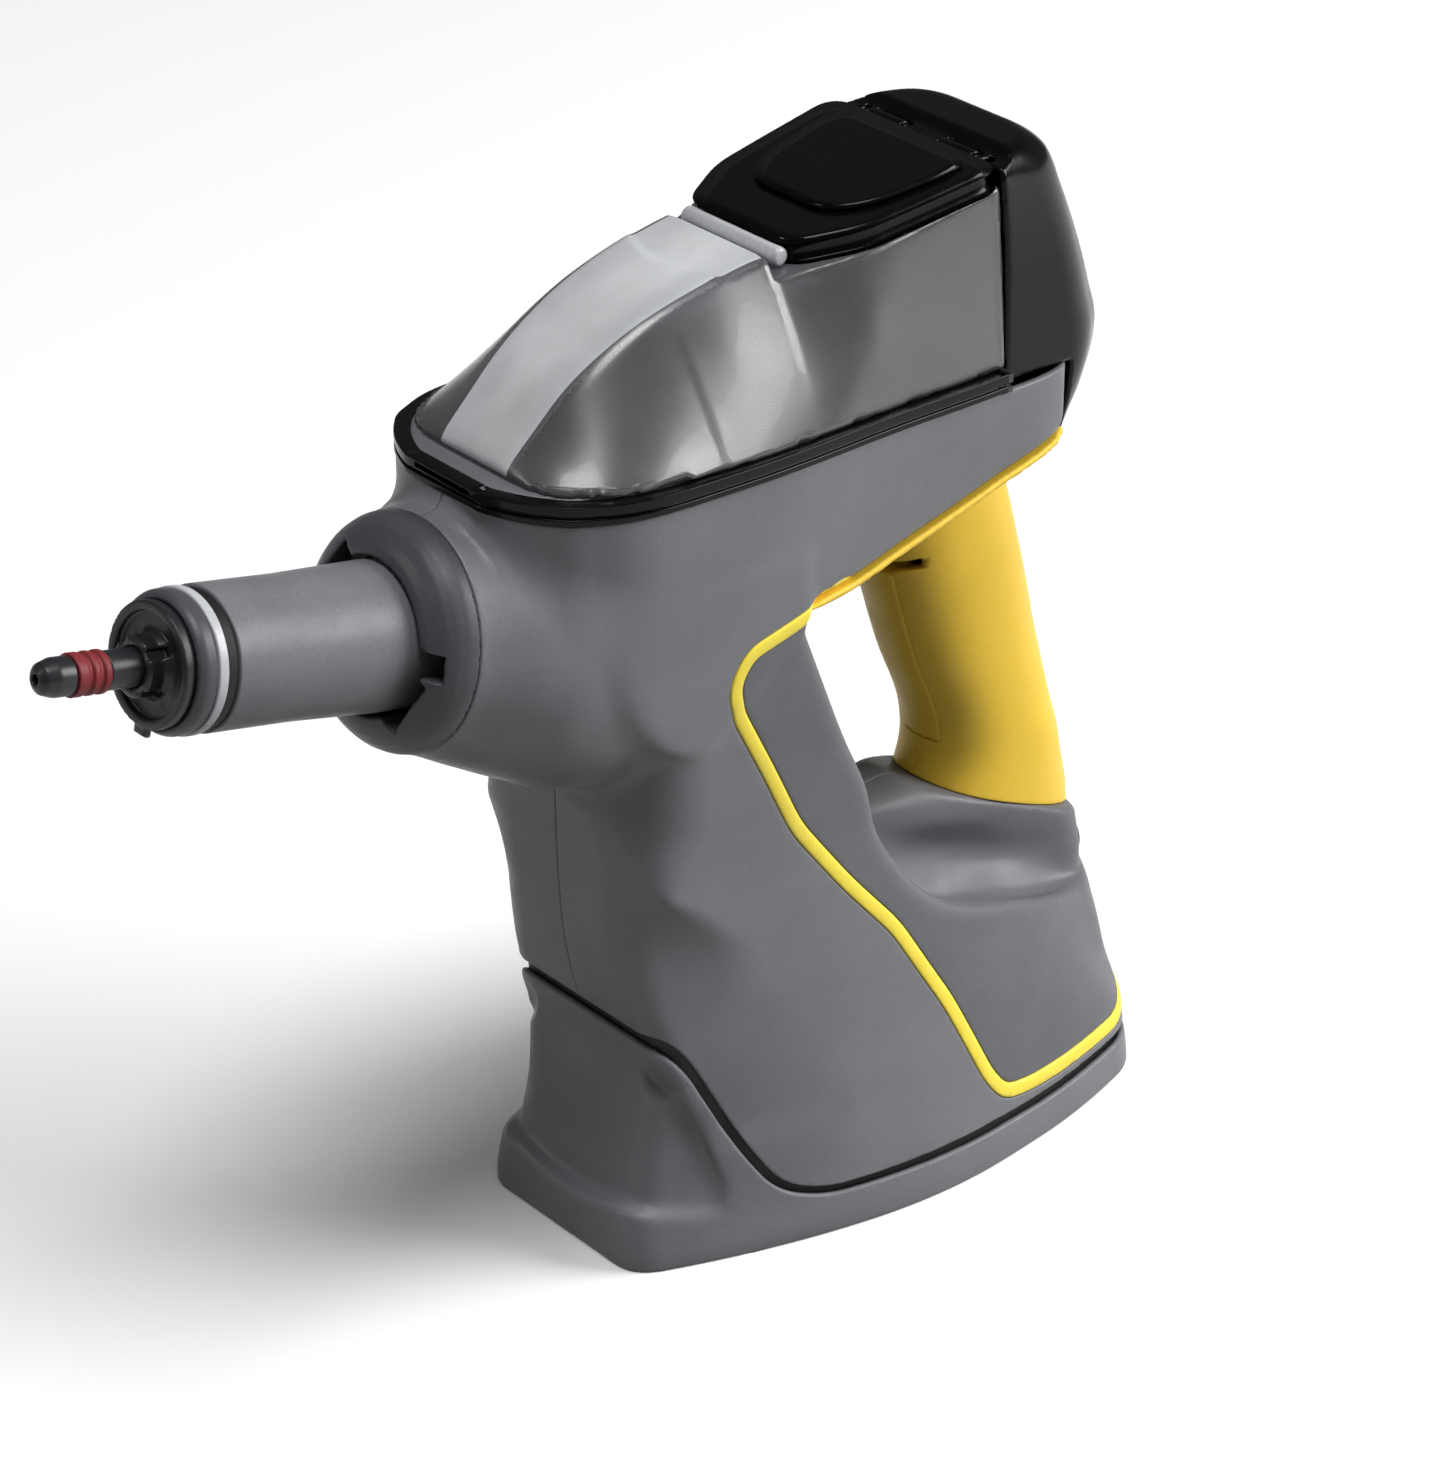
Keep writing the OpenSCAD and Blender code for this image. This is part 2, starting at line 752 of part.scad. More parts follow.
module trigger_spring() {
    length = trigger_back + spring_seat - frame_back - 2 * spring_wire - 2 * slit;
    rings = spring_turns * 8;
    color("silver")
        trigger_place()
            translate([frame_back + spring_wire + slit, 0, spring_z])
                skin([for (i = [0:rings]) coil_ring(i / rings, length, spring_turns)]);
}

module switch_body() {
    color("black")
        trigger_place()
            difference() {
                translate([frame_back + slit, -3.2, switch_z - 5])
                    cube([switch_face - frame_back - slit, 6.4, 18]);
                translate([switch_face - 4, 0, switch_z])
                    rotate([0, 90, 0]) cylinder(h = 5, r = plunger_r + running, $fn = 32);
            }
}

module switch_plunger() {
    color("red")
        trigger_place()
            translate([switch_face - 2, 0, switch_z])
                rotate([0, 90, 0])
                    cylinder(h = trigger_back - switch_face + 2 - gap, r = plunger_r, $fn = 32);
}

// ---------- nozzle, drawn in the frame of the nose ----------

ring_back = -8;
ring_front = 5.5;
tube_clear = 1;                        // dark gap round the tube
slot_floor = -2.5;                     // depth of the two bayonet slots
slot_turn = 92;                        // turn of their mouths from straight down
slot_w = 6.4;
module nose_ring() {
    inner = tube_root_r + slit;
    round_r = nose_ring_r - tube_root_r - tube_clear;
    color("dimgray")
        nose_frame()
            difference() {
                rotate_extrude($fn = fine)
                    polygon([[inner, ring_back], [nose_ring_r - wall - gap, ring_back],
                        [nose_ring_r - wall - gap, -4.7 + slit], [nose_ring_r, -4.7 + slit],
                        for (t = [15:15:90])
                            [nose_ring_r - round_r + round_r * cos(t),
                             -4.7 + slit + (ring_front + 4.7 - slit) * sin(t)],
                        [tube_root_r + tube_clear, ring_back + 3],
                        [inner, ring_back + 3]]);
                for (turn = [slot_turn, slot_turn + 180])
                    rotate([0, 0, turn]) {
                        translate([tube_root_r - 4, -slot_w / 2, slot_floor])
                            cube([11, slot_w, 20]);
                        rotate([0, 0, -32])
                            translate([tube_root_r - 3, -9, slot_floor + 0.7])
                                cube([6.4, 16, 20]);
                    }
            }
}

module nozzle_tube() {
    bore = nozzle_r - nozzle_wall;
    color("gray")
        nose_frame()
            rotate_extrude($fn = fine)
                polygon([[bore, -26], [tube_root_r, -26], [tube_root_r, 6], [nozzle_r, 30],
                    [nozzle_r, nozzle_len - 0.6], [nozzle_r - 0.6, nozzle_len],
                    [bore, nozzle_len]]);
}

plug_r = nozzle_r - nozzle_wall - slit;
seal_w = 4.4;
band_w = 4.8;
cap_s = nozzle_len + seal_w + band_w + 3 * slit;
cap_t = 2.6;
cap_r = nozzle_r - 2.3;

module nozzle_seal_ring() {
    color("black")
        nose_frame()
            translate([0, 0, nozzle_len + slit])
                rotate_extrude($fn = fine)
                    polygon([[plug_r + slit, 0], [nozzle_r - 1.2, 0], [nozzle_r - 0.6, 0.8],
                        [nozzle_r - 0.6, seal_w - 0.8], [nozzle_r - 1.2, seal_w],
                        [plug_r + slit, seal_w]]);
}

module nozzle_band() {
    color("lightgray")
        nose_frame()
            translate([0, 0, nozzle_len + seal_w + 2 * slit])
                rotate_extrude($fn = fine)
                    polygon([[plug_r + slit, 0], [nozzle_r, 0], [nozzle_r, 2],
                        [nozzle_r - 0.5, band_w - 0.6], [nozzle_r - 1.1, band_w],
                        [plug_r + slit, band_w]]);
}

spigot_foot = nozzle_len - 8;
spigot_tip = cap_s + cap_t + spigot_len;
seal_s = cap_s + cap_t + 12;
seal_len = 8.6;
pipe_r = 2.6;

module nozzle_cap() {
    color("black")
        nose_frame()
            difference() {
                union() {
                    translate([0, 0, spigot_foot])
                        cylinder(h = cap_s - spigot_foot + eps, r = plug_r, $fn = fine);
                    translate([0, 0, cap_s]) cylinder(h = cap_t, r = cap_r, $fn = fine);
                    translate([cap_r - 2, -2, cap_s]) cube([4.2, 4, cap_t - 0.6]);
                    translate([0, 0, cap_s]) cylinder(h = cap_t + 4, r = spigot_r + 2.4, $fn = fine);
                }
                translate([0, 0, cap_s + cap_t - 1.6])
                    rotate_extrude($fn = fine)
                        polygon([[spigot_r + 3.6, 0], [cap_r - 2.2, 0], [cap_r - 2.2, 9],
                            [spigot_r + 3.6, 9]]);
                for (turn = [45:90:315])
                    rotate([0, 0, turn])
                        translate([spigot_r + 1.4, -1.2, cap_s + cap_t - 1.6]) cube([4, 2.4, 9]);
                translate([0, 0, spigot_foot - 1])
                    cylinder(h = big, r = spigot_r + slit, $fn = fine);
            }
}

module steam_spigot() {
    color("black")
        nose_frame()
            difference() {
                rotate_extrude($fn = fine)
                    polygon([[0, spigot_foot], [spigot_r, spigot_foot], [spigot_r, seal_s - slit],
                        [spigot_r - 1.2, seal_s - slit],
                        [spigot_r - 1.2, seal_s + seal_len + slit],
                        [spigot_r, seal_s + seal_len + slit],
                        for (t = [0:10:80])
                            [spigot_r * cos(t), spigot_tip - spigot_r + spigot_r * sin(t)],
                        [0, spigot_tip]]);
                translate([0, 0, spigot_foot - 1]) cylinder(h = 15, r = pipe_r + slit, $fn = fine);
                translate([0, 0, spigot_foot]) cylinder(h = big, r = 1.2, $fn = 32);
            }
}

module spigot_seal() {
    bore = spigot_r - 1.2 + running;
    color("firebrick")
        nose_frame()
            translate([0, 0, seal_s])
                rotate_extrude($fn = fine)
                    polygon([[bore, 0], [spigot_r + 0.2, 0], [spigot_r + 0.5, 0.8],
                        [spigot_r + 0.1, 2.8], [spigot_r + 0.5, 4.3], [spigot_r + 0.1, 5.8],
                        [spigot_r + 0.5, 7.8], [spigot_r + 0.2, seal_len], [bore, seal_len]]);
}

steam_bend = on_axis((boiler_x - nose.x) / cos(nose_pitch));
module steam_pipe() {
    color("silver")
        hose([[boiler_x, 0, boiler_z + boiler_len + 3], steam_bend, on_axis(spigot_foot + 12)], pipe_r);
}

// ---------- tank ----------

lid_tilt = 7.1;
lid_front = 26;
lid_place_at = [lid_front, 0, rim_z(lid_front) + tank_h];
lid_len = 57;
pin_back = 60.2;                       // lid pin behind the front of the lid
pin_down = 2.4;
knuckle_r = 2.3;
filler_back = 27;                      // middle of the filler behind the lid's front
module lid_place() {
    translate(lid_place_at) rotate([0, lid_tilt, 0]) children();
}
function lid_z(x) = lid_place_at.z + (lid_place_at.x - x) * tan(lid_tilt);

tank_rear = -32.6;
tank_tip = 105;
lid_step = 30.5;                       // the tank top drops here to make room for the lid
tank_top = lid_place_at.z;
top_line = [[lid_step, tank_top], [36, tank_top - 0.4], [50, tank_top - 2.8], [65, tank_top - 6.6],
    [77, tank_top - 11.6], [87, tank_top - 17.6], [97, tank_top - 26.1], [tank_tip, tank_top - 33]];
top_w_line = [[-33, 28], [-26, 27.5], [-8, 26], [8, 24.5], [30, 17], [50, 16], [65, 15],
    [77, 14], [87, 13.2], [tank_tip, 12.5]];
tank_xs = [tank_tip, 97, 87, 77, 65, 50, 36, lid_step];
under_lid_xs = [lid_step, 8, -15, tank_rear];

function tank_base(x) = rim_z(x) + rim_h + slit;
function tank_outline(x, top) =
    let (w = lookup(x, deck_line) - 1.5, t = min(lookup(x, top_w_line), w - 1), z = tank_base(x),
         m = 0.45 * t + 0.55 * w + min(3, (w - t) * 0.3), h = 0.45 * top + 0.55 * z)
    [[w, z], [m, h], [t, top], [-t, top], [-m, h], [-w, z]];

module tank_form(inset) {
    loft([for (x = tank_xs)
        ring_x(min(x, tank_tip - 2 * inset), shrunk(tank_outline(x, lookup(x, top_line)), inset, 0.8, 2))]);
    loft([for (x = under_lid_xs)
        ring_x(max(x, tank_rear + inset),
            shrunk(tank_outline(x, lid_z(x) - lid_t - slit), inset, 0.8, 2))]);
}

outlet_at = [46, 0];
outlet_r = 5;
module tank() {
    color("lightsteelblue", 0.5)
        difference() {
            tank_form(0);
            tank_form(tank_wall);
            lid_place()
                translate([-filler_back, 0, -lid_t - 6]) cylinder(h = 12, r = filler_r, $fn = fine);
            translate([outlet_at.x, outlet_at.y, rim_z(outlet_at.x) - 22])
                cylinder(h = rim_h + 30, r = outlet_r + gap, $fn = fine);
        }
}

module rim_slab(inset, low, high) {
    loft([for (x = [for (k = deck_xs) if (k > tank_rear) k, tank_rear])
        let (w = lookup(x, deck_line) + 0.6 - inset, z = rim_z(x))
        ring_x(x, [[w, z + low], [w, z + high], [-w, z + high], [-w, z + low]])]);
}

module tank_rim() {
    color("black")
        difference() {
            rim_slab(0, slit, rim_h);
            rim_slab(3, -2, rim_h - 2);
            translate([outlet_at.x, outlet_at.y, rim_z(outlet_at.x) - 22])
                cylinder(h = rim_h + 30, r = outlet_r + gap, $fn = fine);
        }
}

module tank_outlet() {
    z = tank_base(outlet_at.x);
    color("white")
        translate([outlet_at.x, outlet_at.y, 0])
            difference() {
                union() {
                    translate([0, 0, z - 12]) cylinder(h = 14 + tank_wall, r = outlet_r, $fn = fine);
                    translate([0, 0, z - 15]) cylinder(h = 4, r = outlet_r + 3, $fn = fine);
                    translate([0, 0, z + tank_wall + 0.8]) cylinder(h = 2, r = outlet_r + 2.5, $fn = fine);
                }
                translate([0, 0, z - 20]) cylinder(h = 40, r = hose_r + slit, $fn = fine);
            }
}

module tank_filter() {
    z = tank_base(outlet_at.x) + tank_wall + 0.8 + 2 + slit;
    color("white")
        translate([outlet_at.x, outlet_at.y, z])
            difference() {
                cylinder(h = 9, r = outlet_r, $fn = fine);
                translate([0, 0, -1]) cylinder(h = 8.6, r = outlet_r - 1.2, $fn = fine);
                for (turn = [0:45:135], level = [1.4, 4.4])
                    translate([0, 0, level])
                        rotate([0, 0, turn]) translate([-big / 2, -0.8, 0]) cube([big, 1.6, 1.8]);
            }
}

// ---------- rear cap ----------

cap_front = -33.2;
cap_wall = 2.4;
cap_foot = 184;
cap_top = tank_top + 8.4;
cap_brow = cap_top - 5;                // the top edge starts to turn over here
cap_rear_line = [[cap_foot, -66.5], [190, -69], [196, -72], [210, -75.5], [221, -72.5],
    [235, -67.7], [cap_top - 15, -62], [cap_brow, -57.5], [cap_top, -53]];
cap_zs = [cap_foot, 190, 196, 205, 210, 221, 235, cap_top - 15, cap_brow, cap_top];
function cap_ring(z, inset) =
    let (rear = lookup(z, cap_rear_line),
         front_w = lookup(z, [[cap_foot, 30], [209, 31], [cap_brow, 28.3], [cap_top, 26]]),
         side_w = lookup(z, [[cap_foot, 27], [205, 29], [cap_brow - 2, 25.3], [cap_top, 22]]),
         rear_w = lookup(z, [[cap_foot, 17], [205, 20], [cap_brow, 19], [cap_top, 16]]))
    [for (p = rounded(inset_outline(both_sides([[cap_front, front_w], [0.3 * cap_front + 0.7 * rear, side_w],
        [rear, rear_w]]), inset), 3)) [p.x, p.y, z]];

module rear_cap() {
    color("black")
        difference() {
            union() {
                difference() {
                    skin([for (z = cap_zs) cap_ring(z, 0)]);
                    skin([for (z = [cap_foot - 4, for (k = cap_zs) if (k < cap_top) k,
                                    cap_top - cap_wall - 0.2])
                        [for (p = cap_ring(max(z, cap_foot), cap_wall)) [p.x, p.y, z]]]);
                    // hinge pocket
                    lid_place()
                        translate([-pin_back, 0, -pin_down])
                            rotate([90, 0, 0])
                                cylinder(h = 44, r = knuckle_r + 0.8, center = true, $fn = fine);
                    lid_place() translate([-pin_back, -22, -pin_down]) cube([20, 44, 20]);
                }
                for (y = [-20.2, -6, 18.2])
                    lid_place() {
                        translate([-pin_back, y, -pin_down])
                            rotate([-90, 0, 0])
                                cylinder(h = y == -6 ? 12 : 2, r = knuckle_r, $fn = fine);
                        translate([-pin_back - 4, y, -pin_down - knuckle_r])
                            cube([4, y == -6 ? 12 : 2, 2 * knuckle_r]);
                    }
            }
            // room for the rear edge of the lid as it swings up
            side_cut([[-39, cap_top + 0.2], [-37.2, cap_top - 0.8], [-33, cap_top - 1.4],
                [-20, cap_top - 1.4], [-20, cap_top + 6], [-39, cap_top + 6]]);
            side_cut([[-57 + slit - 0.3, 0], [big, 0], [big, rim_z(big) + slit],
                [-57 - 0.2, rim_z(-57) + slit]]);
            lid_place()
                translate([-pin_back, 0, -pin_down])
                    rotate([90, 0, 0])
                        cylinder(h = 46, r = lid_pin_r + running, center = true, $fn = fine);
        }
}

// ---------- lid, drawn in the frame of the lid ----------

lid_outline = both_sides([[-2.6, 16.5], [-18, 24.3], [-34, 25.8], [-lid_len, 27.6]]);

module lid() {
    color("black")
        lid_place()
            difference() {
                union() {
                    translate([0, 0, -lid_t]) linear_extrude(lid_t) polygon(rounded(lid_outline, 2));
                    for (y = [-17.8, 6.4])
                        difference() {
                            hull() {
                                translate([-pin_back, y, -pin_down])
                                    rotate([-90, 0, 0]) cylinder(h = 11.4, r = knuckle_r, $fn = 32);
                                translate([-lid_len, y, -pin_down - 1.6])
                                    cube([1, 11.4, 3.2]);
                            }
                        }
                }
                translate([-pin_back, 0, -pin_down])
                    rotate([90, 0, 0])
                        cylinder(h = 60, r = lid_pin_r + running, center = true, $fn = fine);
            }
}

module lid_pad() {
    color("black")
        lid_place()
            translate([0, 0, slit])
                linear_extrude(0.8)
                    polygon(rounded(both_sides([[-17.5, 12.2], [-26, 18.5], [-46, 21.5], [-54, 21]]), 4));
}

bar_r = 2.3;
module lid_bar() {
    color("silver")
        lid_place()
            translate([slit, 0, -bar_r - 0.2])
                rotate([90, 0, 0]) cylinder(h = 33, r = bar_r, center = true, $fn = fine);
}

module lid_pin() {
    color("silver")
        lid_place()
            translate([-pin_back, 0, -pin_down])
                rotate([90, 0, 0]) cylinder(h = 40, r = lid_pin_r, center = true, $fn = fine);
}

module filler_seal() {
    color("darkgray")
        lid_place()
            translate([-filler_back, 0, -lid_t - slit - 2.4])
                difference() {
                    cylinder(h = 2.4, r = filler_r - 0.9, $fn = fine);
                    translate([0, 0, -1]) cylinder(h = 5, r = filler_r - 3.4, $fn = fine);
                }
}

// ---------- boiler ----------

module boiler() {
    color("silver")
        difference() {
            union() {
                translate([boiler_x, 0, boiler_z]) cylinder(h = boiler_len, r = boiler_r, $fn = fine);
                translate([boiler_x - boiler_r - 5, 0, boiler_z + 8])
                    rotate([0, 90, 0]) cylinder(h = 8, r = 2.4, $fn = 32);
                for (side = [-1, 1])
                    translate([boiler_x - 8, side * (boiler_r - 1) - 3, boiler_z + 26])
                        cube([16, 6, 16]);
            }
            translate([boiler_x, 0, boiler_z + 4])
                cylinder(h = boiler_len, r = boiler_r - 5, $fn = fine);
            translate([boiler_x - boiler_r - 6, 0, boiler_z + 8])
                rotate([0, 90, 0]) cylinder(h = 14, r = 1.2, $fn = 32);
        }
}

module boiler_lid() {
    color("silver")
        translate([boiler_x, 0, boiler_z + boiler_len + slit])
            difference() {
                union() {
                    cylinder(h = 3, r = boiler_r, $fn = fine);
                    cylinder(h = 8, r = pipe_r + 2, $fn = fine);
                }
                translate([0, 0, 2]) cylinder(h = 12, r = pipe_r + slit, $fn = fine);
                translate([0, 0, -1]) cylinder(h = 12, r = 1.2, $fn = 32);
            }
}

module heater_terminals() {
    color("gold")
        for (side = [-1, 1])
            translate([boiler_x, side * 5, boiler_z - 7 - slit]) cylinder(h = 7, r = 1.5, $fn = 32);
}

pad_face = boiler_r + 2;
module thermostat() {
    color("ivory")
        translate([boiler_x, -pad_face - slit, boiler_z + 34])
            rotate([90, 0, 0]) {
                cylinder(h = 3, r = 7, $fn = fine);
                cylinder(h = 6, r = 4, $fn = fine);
            }
}

module thermal_fuse() {
    color("white")
        translate([boiler_x - 7, pad_face + 2 + slit, boiler_z + 34])
            rotate([0, 90, 0]) cylinder(h = 14, r = 2, $fn = 32);
}

// ---------- pump and water path ----------

pump_front = pump_x + pump_len / 2;
pump_rear = pump_x - pump_len / 2;
plunger_body_r = 3;
inlet_z = boiler_z + 8;
inlet_x = boiler_x - boiler_r - 5;
tank_hose_path = [[outlet_at.x, outlet_at.y, rim_z(outlet_at.x) + rim_h - 16],
    [outlet_at.x, 8, 182], [outlet_at.x, 24, 166], [tank_hose_down.x, tank_hose_down.y, 148],
    [tank_hose_down.x, tank_hose_down.y, 62], [26, 26, 50], [-30, 24, 51], [-52, 18, 49],
    [-72, 15, 32], [-76, 3, pump_z], [pump_rear - 14, 0, pump_z],
    [pump_rear - 8 - slit, 0, pump_z]];
boiler_hose_path = [[pump_front + 8 + slit, 0, pump_z], [10, 0, pump_z], [boiler_hose_up, 0, 38],
    [boiler_hose_up, 0, 72], [boiler_hose_up + 2, 0, inlet_z], [inlet_x - slit, 0, inlet_z]];

module pump_body() {
    color("darkgray")
        translate([pump_rear, 0, pump_z])
            rotate([0, 90, 0])
                difference() {
                    union() {
                        cylinder(h = pump_len, r = pump_r, $fn = fine);
                        translate([0, 0, -8]) cylinder(h = pump_len + 16, r = hose_r, $fn = fine);
                    }
                    translate([0, 0, 5])
                        cylinder(h = pump_len - 8, r = plunger_body_r + running, $fn = fine);
                    translate([0, 0, -9]) cylinder(h = pump_len + 18, r = 1.2, $fn = 32);
                }
}

module pump_plunger() {
    color("silver")
        translate([pump_rear + 5 + gap, 0, pump_z])
            rotate([0, 90, 0])
                difference() {
                    cylinder(h = pump_len - 8 - 2 * gap - pump_stroke, r = plunger_body_r, $fn = fine);
                    translate([0, 0, -1]) cylinder(h = big, r = 1, $fn = 32);
                }
}

module tank_hose() color("white") hose(tank_hose_path, hose_r);
module boiler_hose() color("white") hose(boiler_hose_path, hose_r);

// ---------- mains side ----------

module terminal_block() {
    color("ivory")
        translate([pump_x - 12, -7, base_plate_t + slit])
            difference() {
                cube([24, 14, 10]);
                for (x = [4, 12, 20])
                    translate([x, 7, 3]) cylinder(h = 10, r = 2.2, $fn = 32);
            }
}

module cord_inlet() {
    color("black")
        translate([inlet_out, 0, cord_z])
            rotate([0, 90, 0])
                difference() {
                    union() {
                        cylinder(h = cord_flange_t, r = cord_body_r + 2, $fn = fine);
                        cylinder(h = 14, r = cord_body_r, $fn = fine);
                    }
                    translate([0, 0, -1]) cylinder(h = 20, r = cord_bore_r, $fn = fine);
                }
}

cord_squeeze = 0.4;                    // how much tighter the clamp holds the cord
module cord_clamp() {
    color("black")
        translate([inlet_out + 14 + gap, -9, cord_z - 7])
            difference() {
                cube([8, 18, 13]);
                translate([-1, 9, 7])
                    rotate([0, 90, 0]) cylinder(h = 10, r = cord_bore_r - cord_squeeze, $fn = fine);
            }
}

housing_left();
housing_right();
side_panel_left();
side_panel_right();
trim_left();
trim_right();
base_skirt();
base_plate();
rubber_pads();
base_screws();
housing_screws();
grip_left();
grip_right();
trigger_frame();
trigger();
trigger_pin();
trigger_spring();
switch_body();
switch_plunger();
nose_ring();
nozzle_tube();
nozzle_seal_ring();
nozzle_band();
nozzle_cap();
steam_spigot();
spigot_seal();
steam_pipe();
tank();
tank_rim();
tank_outlet();
tank_filter();
rear_cap();
lid();
lid_pad();
lid_bar();
lid_pin();
filler_seal();
boiler();
boiler_lid();
heater_terminals();
thermostat();
thermal_fuse();
pump_body();
pump_plunger();
tank_hose();
boiler_hose();
terminal_block();
cord_inlet();
cord_clamp();
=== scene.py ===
# %% [markdown]
# # Dressing a handheld steamer
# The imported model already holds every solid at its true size. This lesson gives it its looks:
# softly swelling plastic shells over the faceted solids, a clear tank, turned nozzle parts,
# and a finish for each material. Everything is in metres and in the model's own frame, so a
# new piece goes straight to where its solid is.

# %% Load the frame
import json
import math

import bpy
import numpy as np
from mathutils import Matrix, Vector


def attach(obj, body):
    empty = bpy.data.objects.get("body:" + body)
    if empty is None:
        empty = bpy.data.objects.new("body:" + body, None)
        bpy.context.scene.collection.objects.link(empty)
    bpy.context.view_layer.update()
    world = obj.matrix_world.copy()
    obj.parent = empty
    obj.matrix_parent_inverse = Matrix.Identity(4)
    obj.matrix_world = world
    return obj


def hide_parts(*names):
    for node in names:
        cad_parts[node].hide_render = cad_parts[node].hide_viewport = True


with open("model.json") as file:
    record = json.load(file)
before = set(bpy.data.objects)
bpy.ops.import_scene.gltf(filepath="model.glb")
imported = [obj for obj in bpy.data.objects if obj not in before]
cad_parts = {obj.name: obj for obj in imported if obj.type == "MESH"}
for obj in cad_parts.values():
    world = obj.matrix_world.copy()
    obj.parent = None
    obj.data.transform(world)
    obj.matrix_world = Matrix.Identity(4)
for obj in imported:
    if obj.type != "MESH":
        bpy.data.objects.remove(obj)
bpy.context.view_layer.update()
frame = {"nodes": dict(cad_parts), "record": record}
MM = 0.001

# %% [markdown]
# ## Camera
# A long lens from the front left and above keeps the sides nearly parallel. The camera's place
# is worked out from a turn, a height angle and a distance round a point inside the housing,
# because three such numbers are easier to adjust than a position and three rotations.

# %% Camera
AIM = Vector((31, 0, 122.3)) * MM
SENSOR, FOCAL_PX, FRAME_PX = 36.0, 4723, 1470
TURN, RISE, DISTANCE = math.radians(41.3), math.radians(30.0), 1.15
back = Vector((math.sin(TURN) * math.cos(RISE), math.cos(TURN) * math.cos(RISE), math.sin(RISE)))
camera = bpy.data.objects.new("camera", bpy.data.cameras.new("camera"))
bpy.context.scene.collection.objects.link(camera)
camera.location = AIM + back * DISTANCE
camera.rotation_mode = "QUATERNION"
camera.rotation_quaternion = (-back).to_track_quat("-Z", "Y")
camera.data.lens = SENSOR * FOCAL_PX / FRAME_PX
camera.data.clip_start, camera.data.clip_end = 0.05, 20
bpy.context.scene.camera = camera
bpy.context.scene.view_settings.view_transform = "Standard"
print("camera at", [round(v, 3) for v in camera.location], "lens", round(camera.data.lens, 1))

# %% [markdown]
# ## Writing shader maths as plain expressions
# A material is a graph of nodes, and graphs are tedious to read in code. A small class that
# wraps an output socket and answers to + - * / lets a formula be written as a formula. Every
# other kind of node comes from one method that takes its type, its settings and its inputs.

# %% Signals
class Signal:
    """The output of a node, which can stand in a formula."""

    def __init__(self, finish, socket):
        self.finish, self.socket = finish, socket

    def math(self, operation, *terms):
        return self.finish.node("ShaderNodeMath", {"operation": operation}, dict(enumerate(terms)))

    def __add__(self, other):
        return self.math("ADD", self, other)

    def __sub__(self, other):
        return self.math("SUBTRACT", self, other)

    def __rsub__(self, other):
        return self.math("SUBTRACT", other, self)

    def __mul__(self, other):
        return self.math("MULTIPLY", self, other)

    __radd__, __rmul__ = __add__, __mul__


print("signals answer to + - *")

# %% Finish
class Finish:
    """A material with a Principled shader, whose constants are set on its own sockets."""

    def __init__(self, name, **constants):
        self.material = bpy.data.materials.new(name)
        self.material.use_nodes = True
        self.tree = self.material.node_tree
        self.tree.nodes.clear()
        self.out = self.tree.nodes.new("ShaderNodeOutputMaterial")
        self.body = self.node("ShaderNodeBsdfPrincipled")
        self.shader = self.body.socket.node
        self.shows(self.body)
        for words, value in constants.items():
            self.shader.inputs[words.replace("_", " ").title().replace("Ior", "IOR")].default_value = value

    def shows(self, surface):
        self.tree.links.new(surface.socket, self.out.inputs[0])

    def node(self, kind, settings=None, inputs=None, output=0):
        made = self.tree.nodes.new(kind)
        for key, value in (settings or {}).items():
            if key == "stops":
                ramp = made.color_ramp.elements
                while len(ramp) < len(value):
                    ramp.new(0.5)
                for stop, (place, colour) in zip(ramp, value):
                    stop.position, stop.color = place, colour
            else:
                setattr(made, key, value)
        for key, value in (inputs or {}).items():
            self.feed(made.inputs[key], value)
        return Signal(self, made.outputs[output])

    def feed(self, socket, value):
        if isinstance(value, Signal):
            self.tree.links.new(value.socket, socket)
        else:
            socket.default_value = value

    def place(self):
        return self.node("ShaderNodeTexCoord", output="Object")

    def noise(self, scale, detail=2.0, roughness=0.5, at=None):
        return self.node("ShaderNodeTexNoise", {},
                         {"Vector": at or self.place(), "Scale": scale, "Detail": detail,
                          "Roughness": roughness})

    def spread(self, value, low, high, to_low=0.0, to_high=1.0):
        return self.node("ShaderNodeMapRange", {"interpolation_type": "SMOOTHSTEP"},
                         {"Value": value, "From Min": low, "From Max": high, "To Min": to_low,
                          "To Max": to_high})

    def mixed(self, factor, a, b):
        return self.node("ShaderNodeMix", {"data_type": "RGBA"}, {0: factor, 6: a, 7: b}, output=2)

    def bump(self, height, distance, strength=1.0):
        self.feed(self.shader.inputs["Normal"],
                  self.node("ShaderNodeBump", {}, {"Height": height, "Distance": distance,
                                                   "Strength": strength}))

    def varies(self, socket, value):
        self.feed(self.shader.inputs[socket], value)


def rgb(code, level=1.0):
    """A web colour as linear numbers, so that it renders as it is written."""
    parts = [int(code[i:i + 2], 16) / 255 for i in (1, 3, 5)]
    return [level * (c / 12.92 if c <= 0.04045 else ((c + 0.055) / 1.055) ** 2.4) for c in parts] + [1.0]


print("shader helpers ready")

# %% [markdown]
# ## Moulded plastic
# Injection-moulded plastic shows three things at different scales: a spark-eroded grain of a
# few tenths of a millimetre in the mould, faint cloudiness of the pigment over centimetres,
# and a patchy polish where hands touch it. Each is a noise of its own scale, one on the
# normal, one on the colour and one on the roughness.

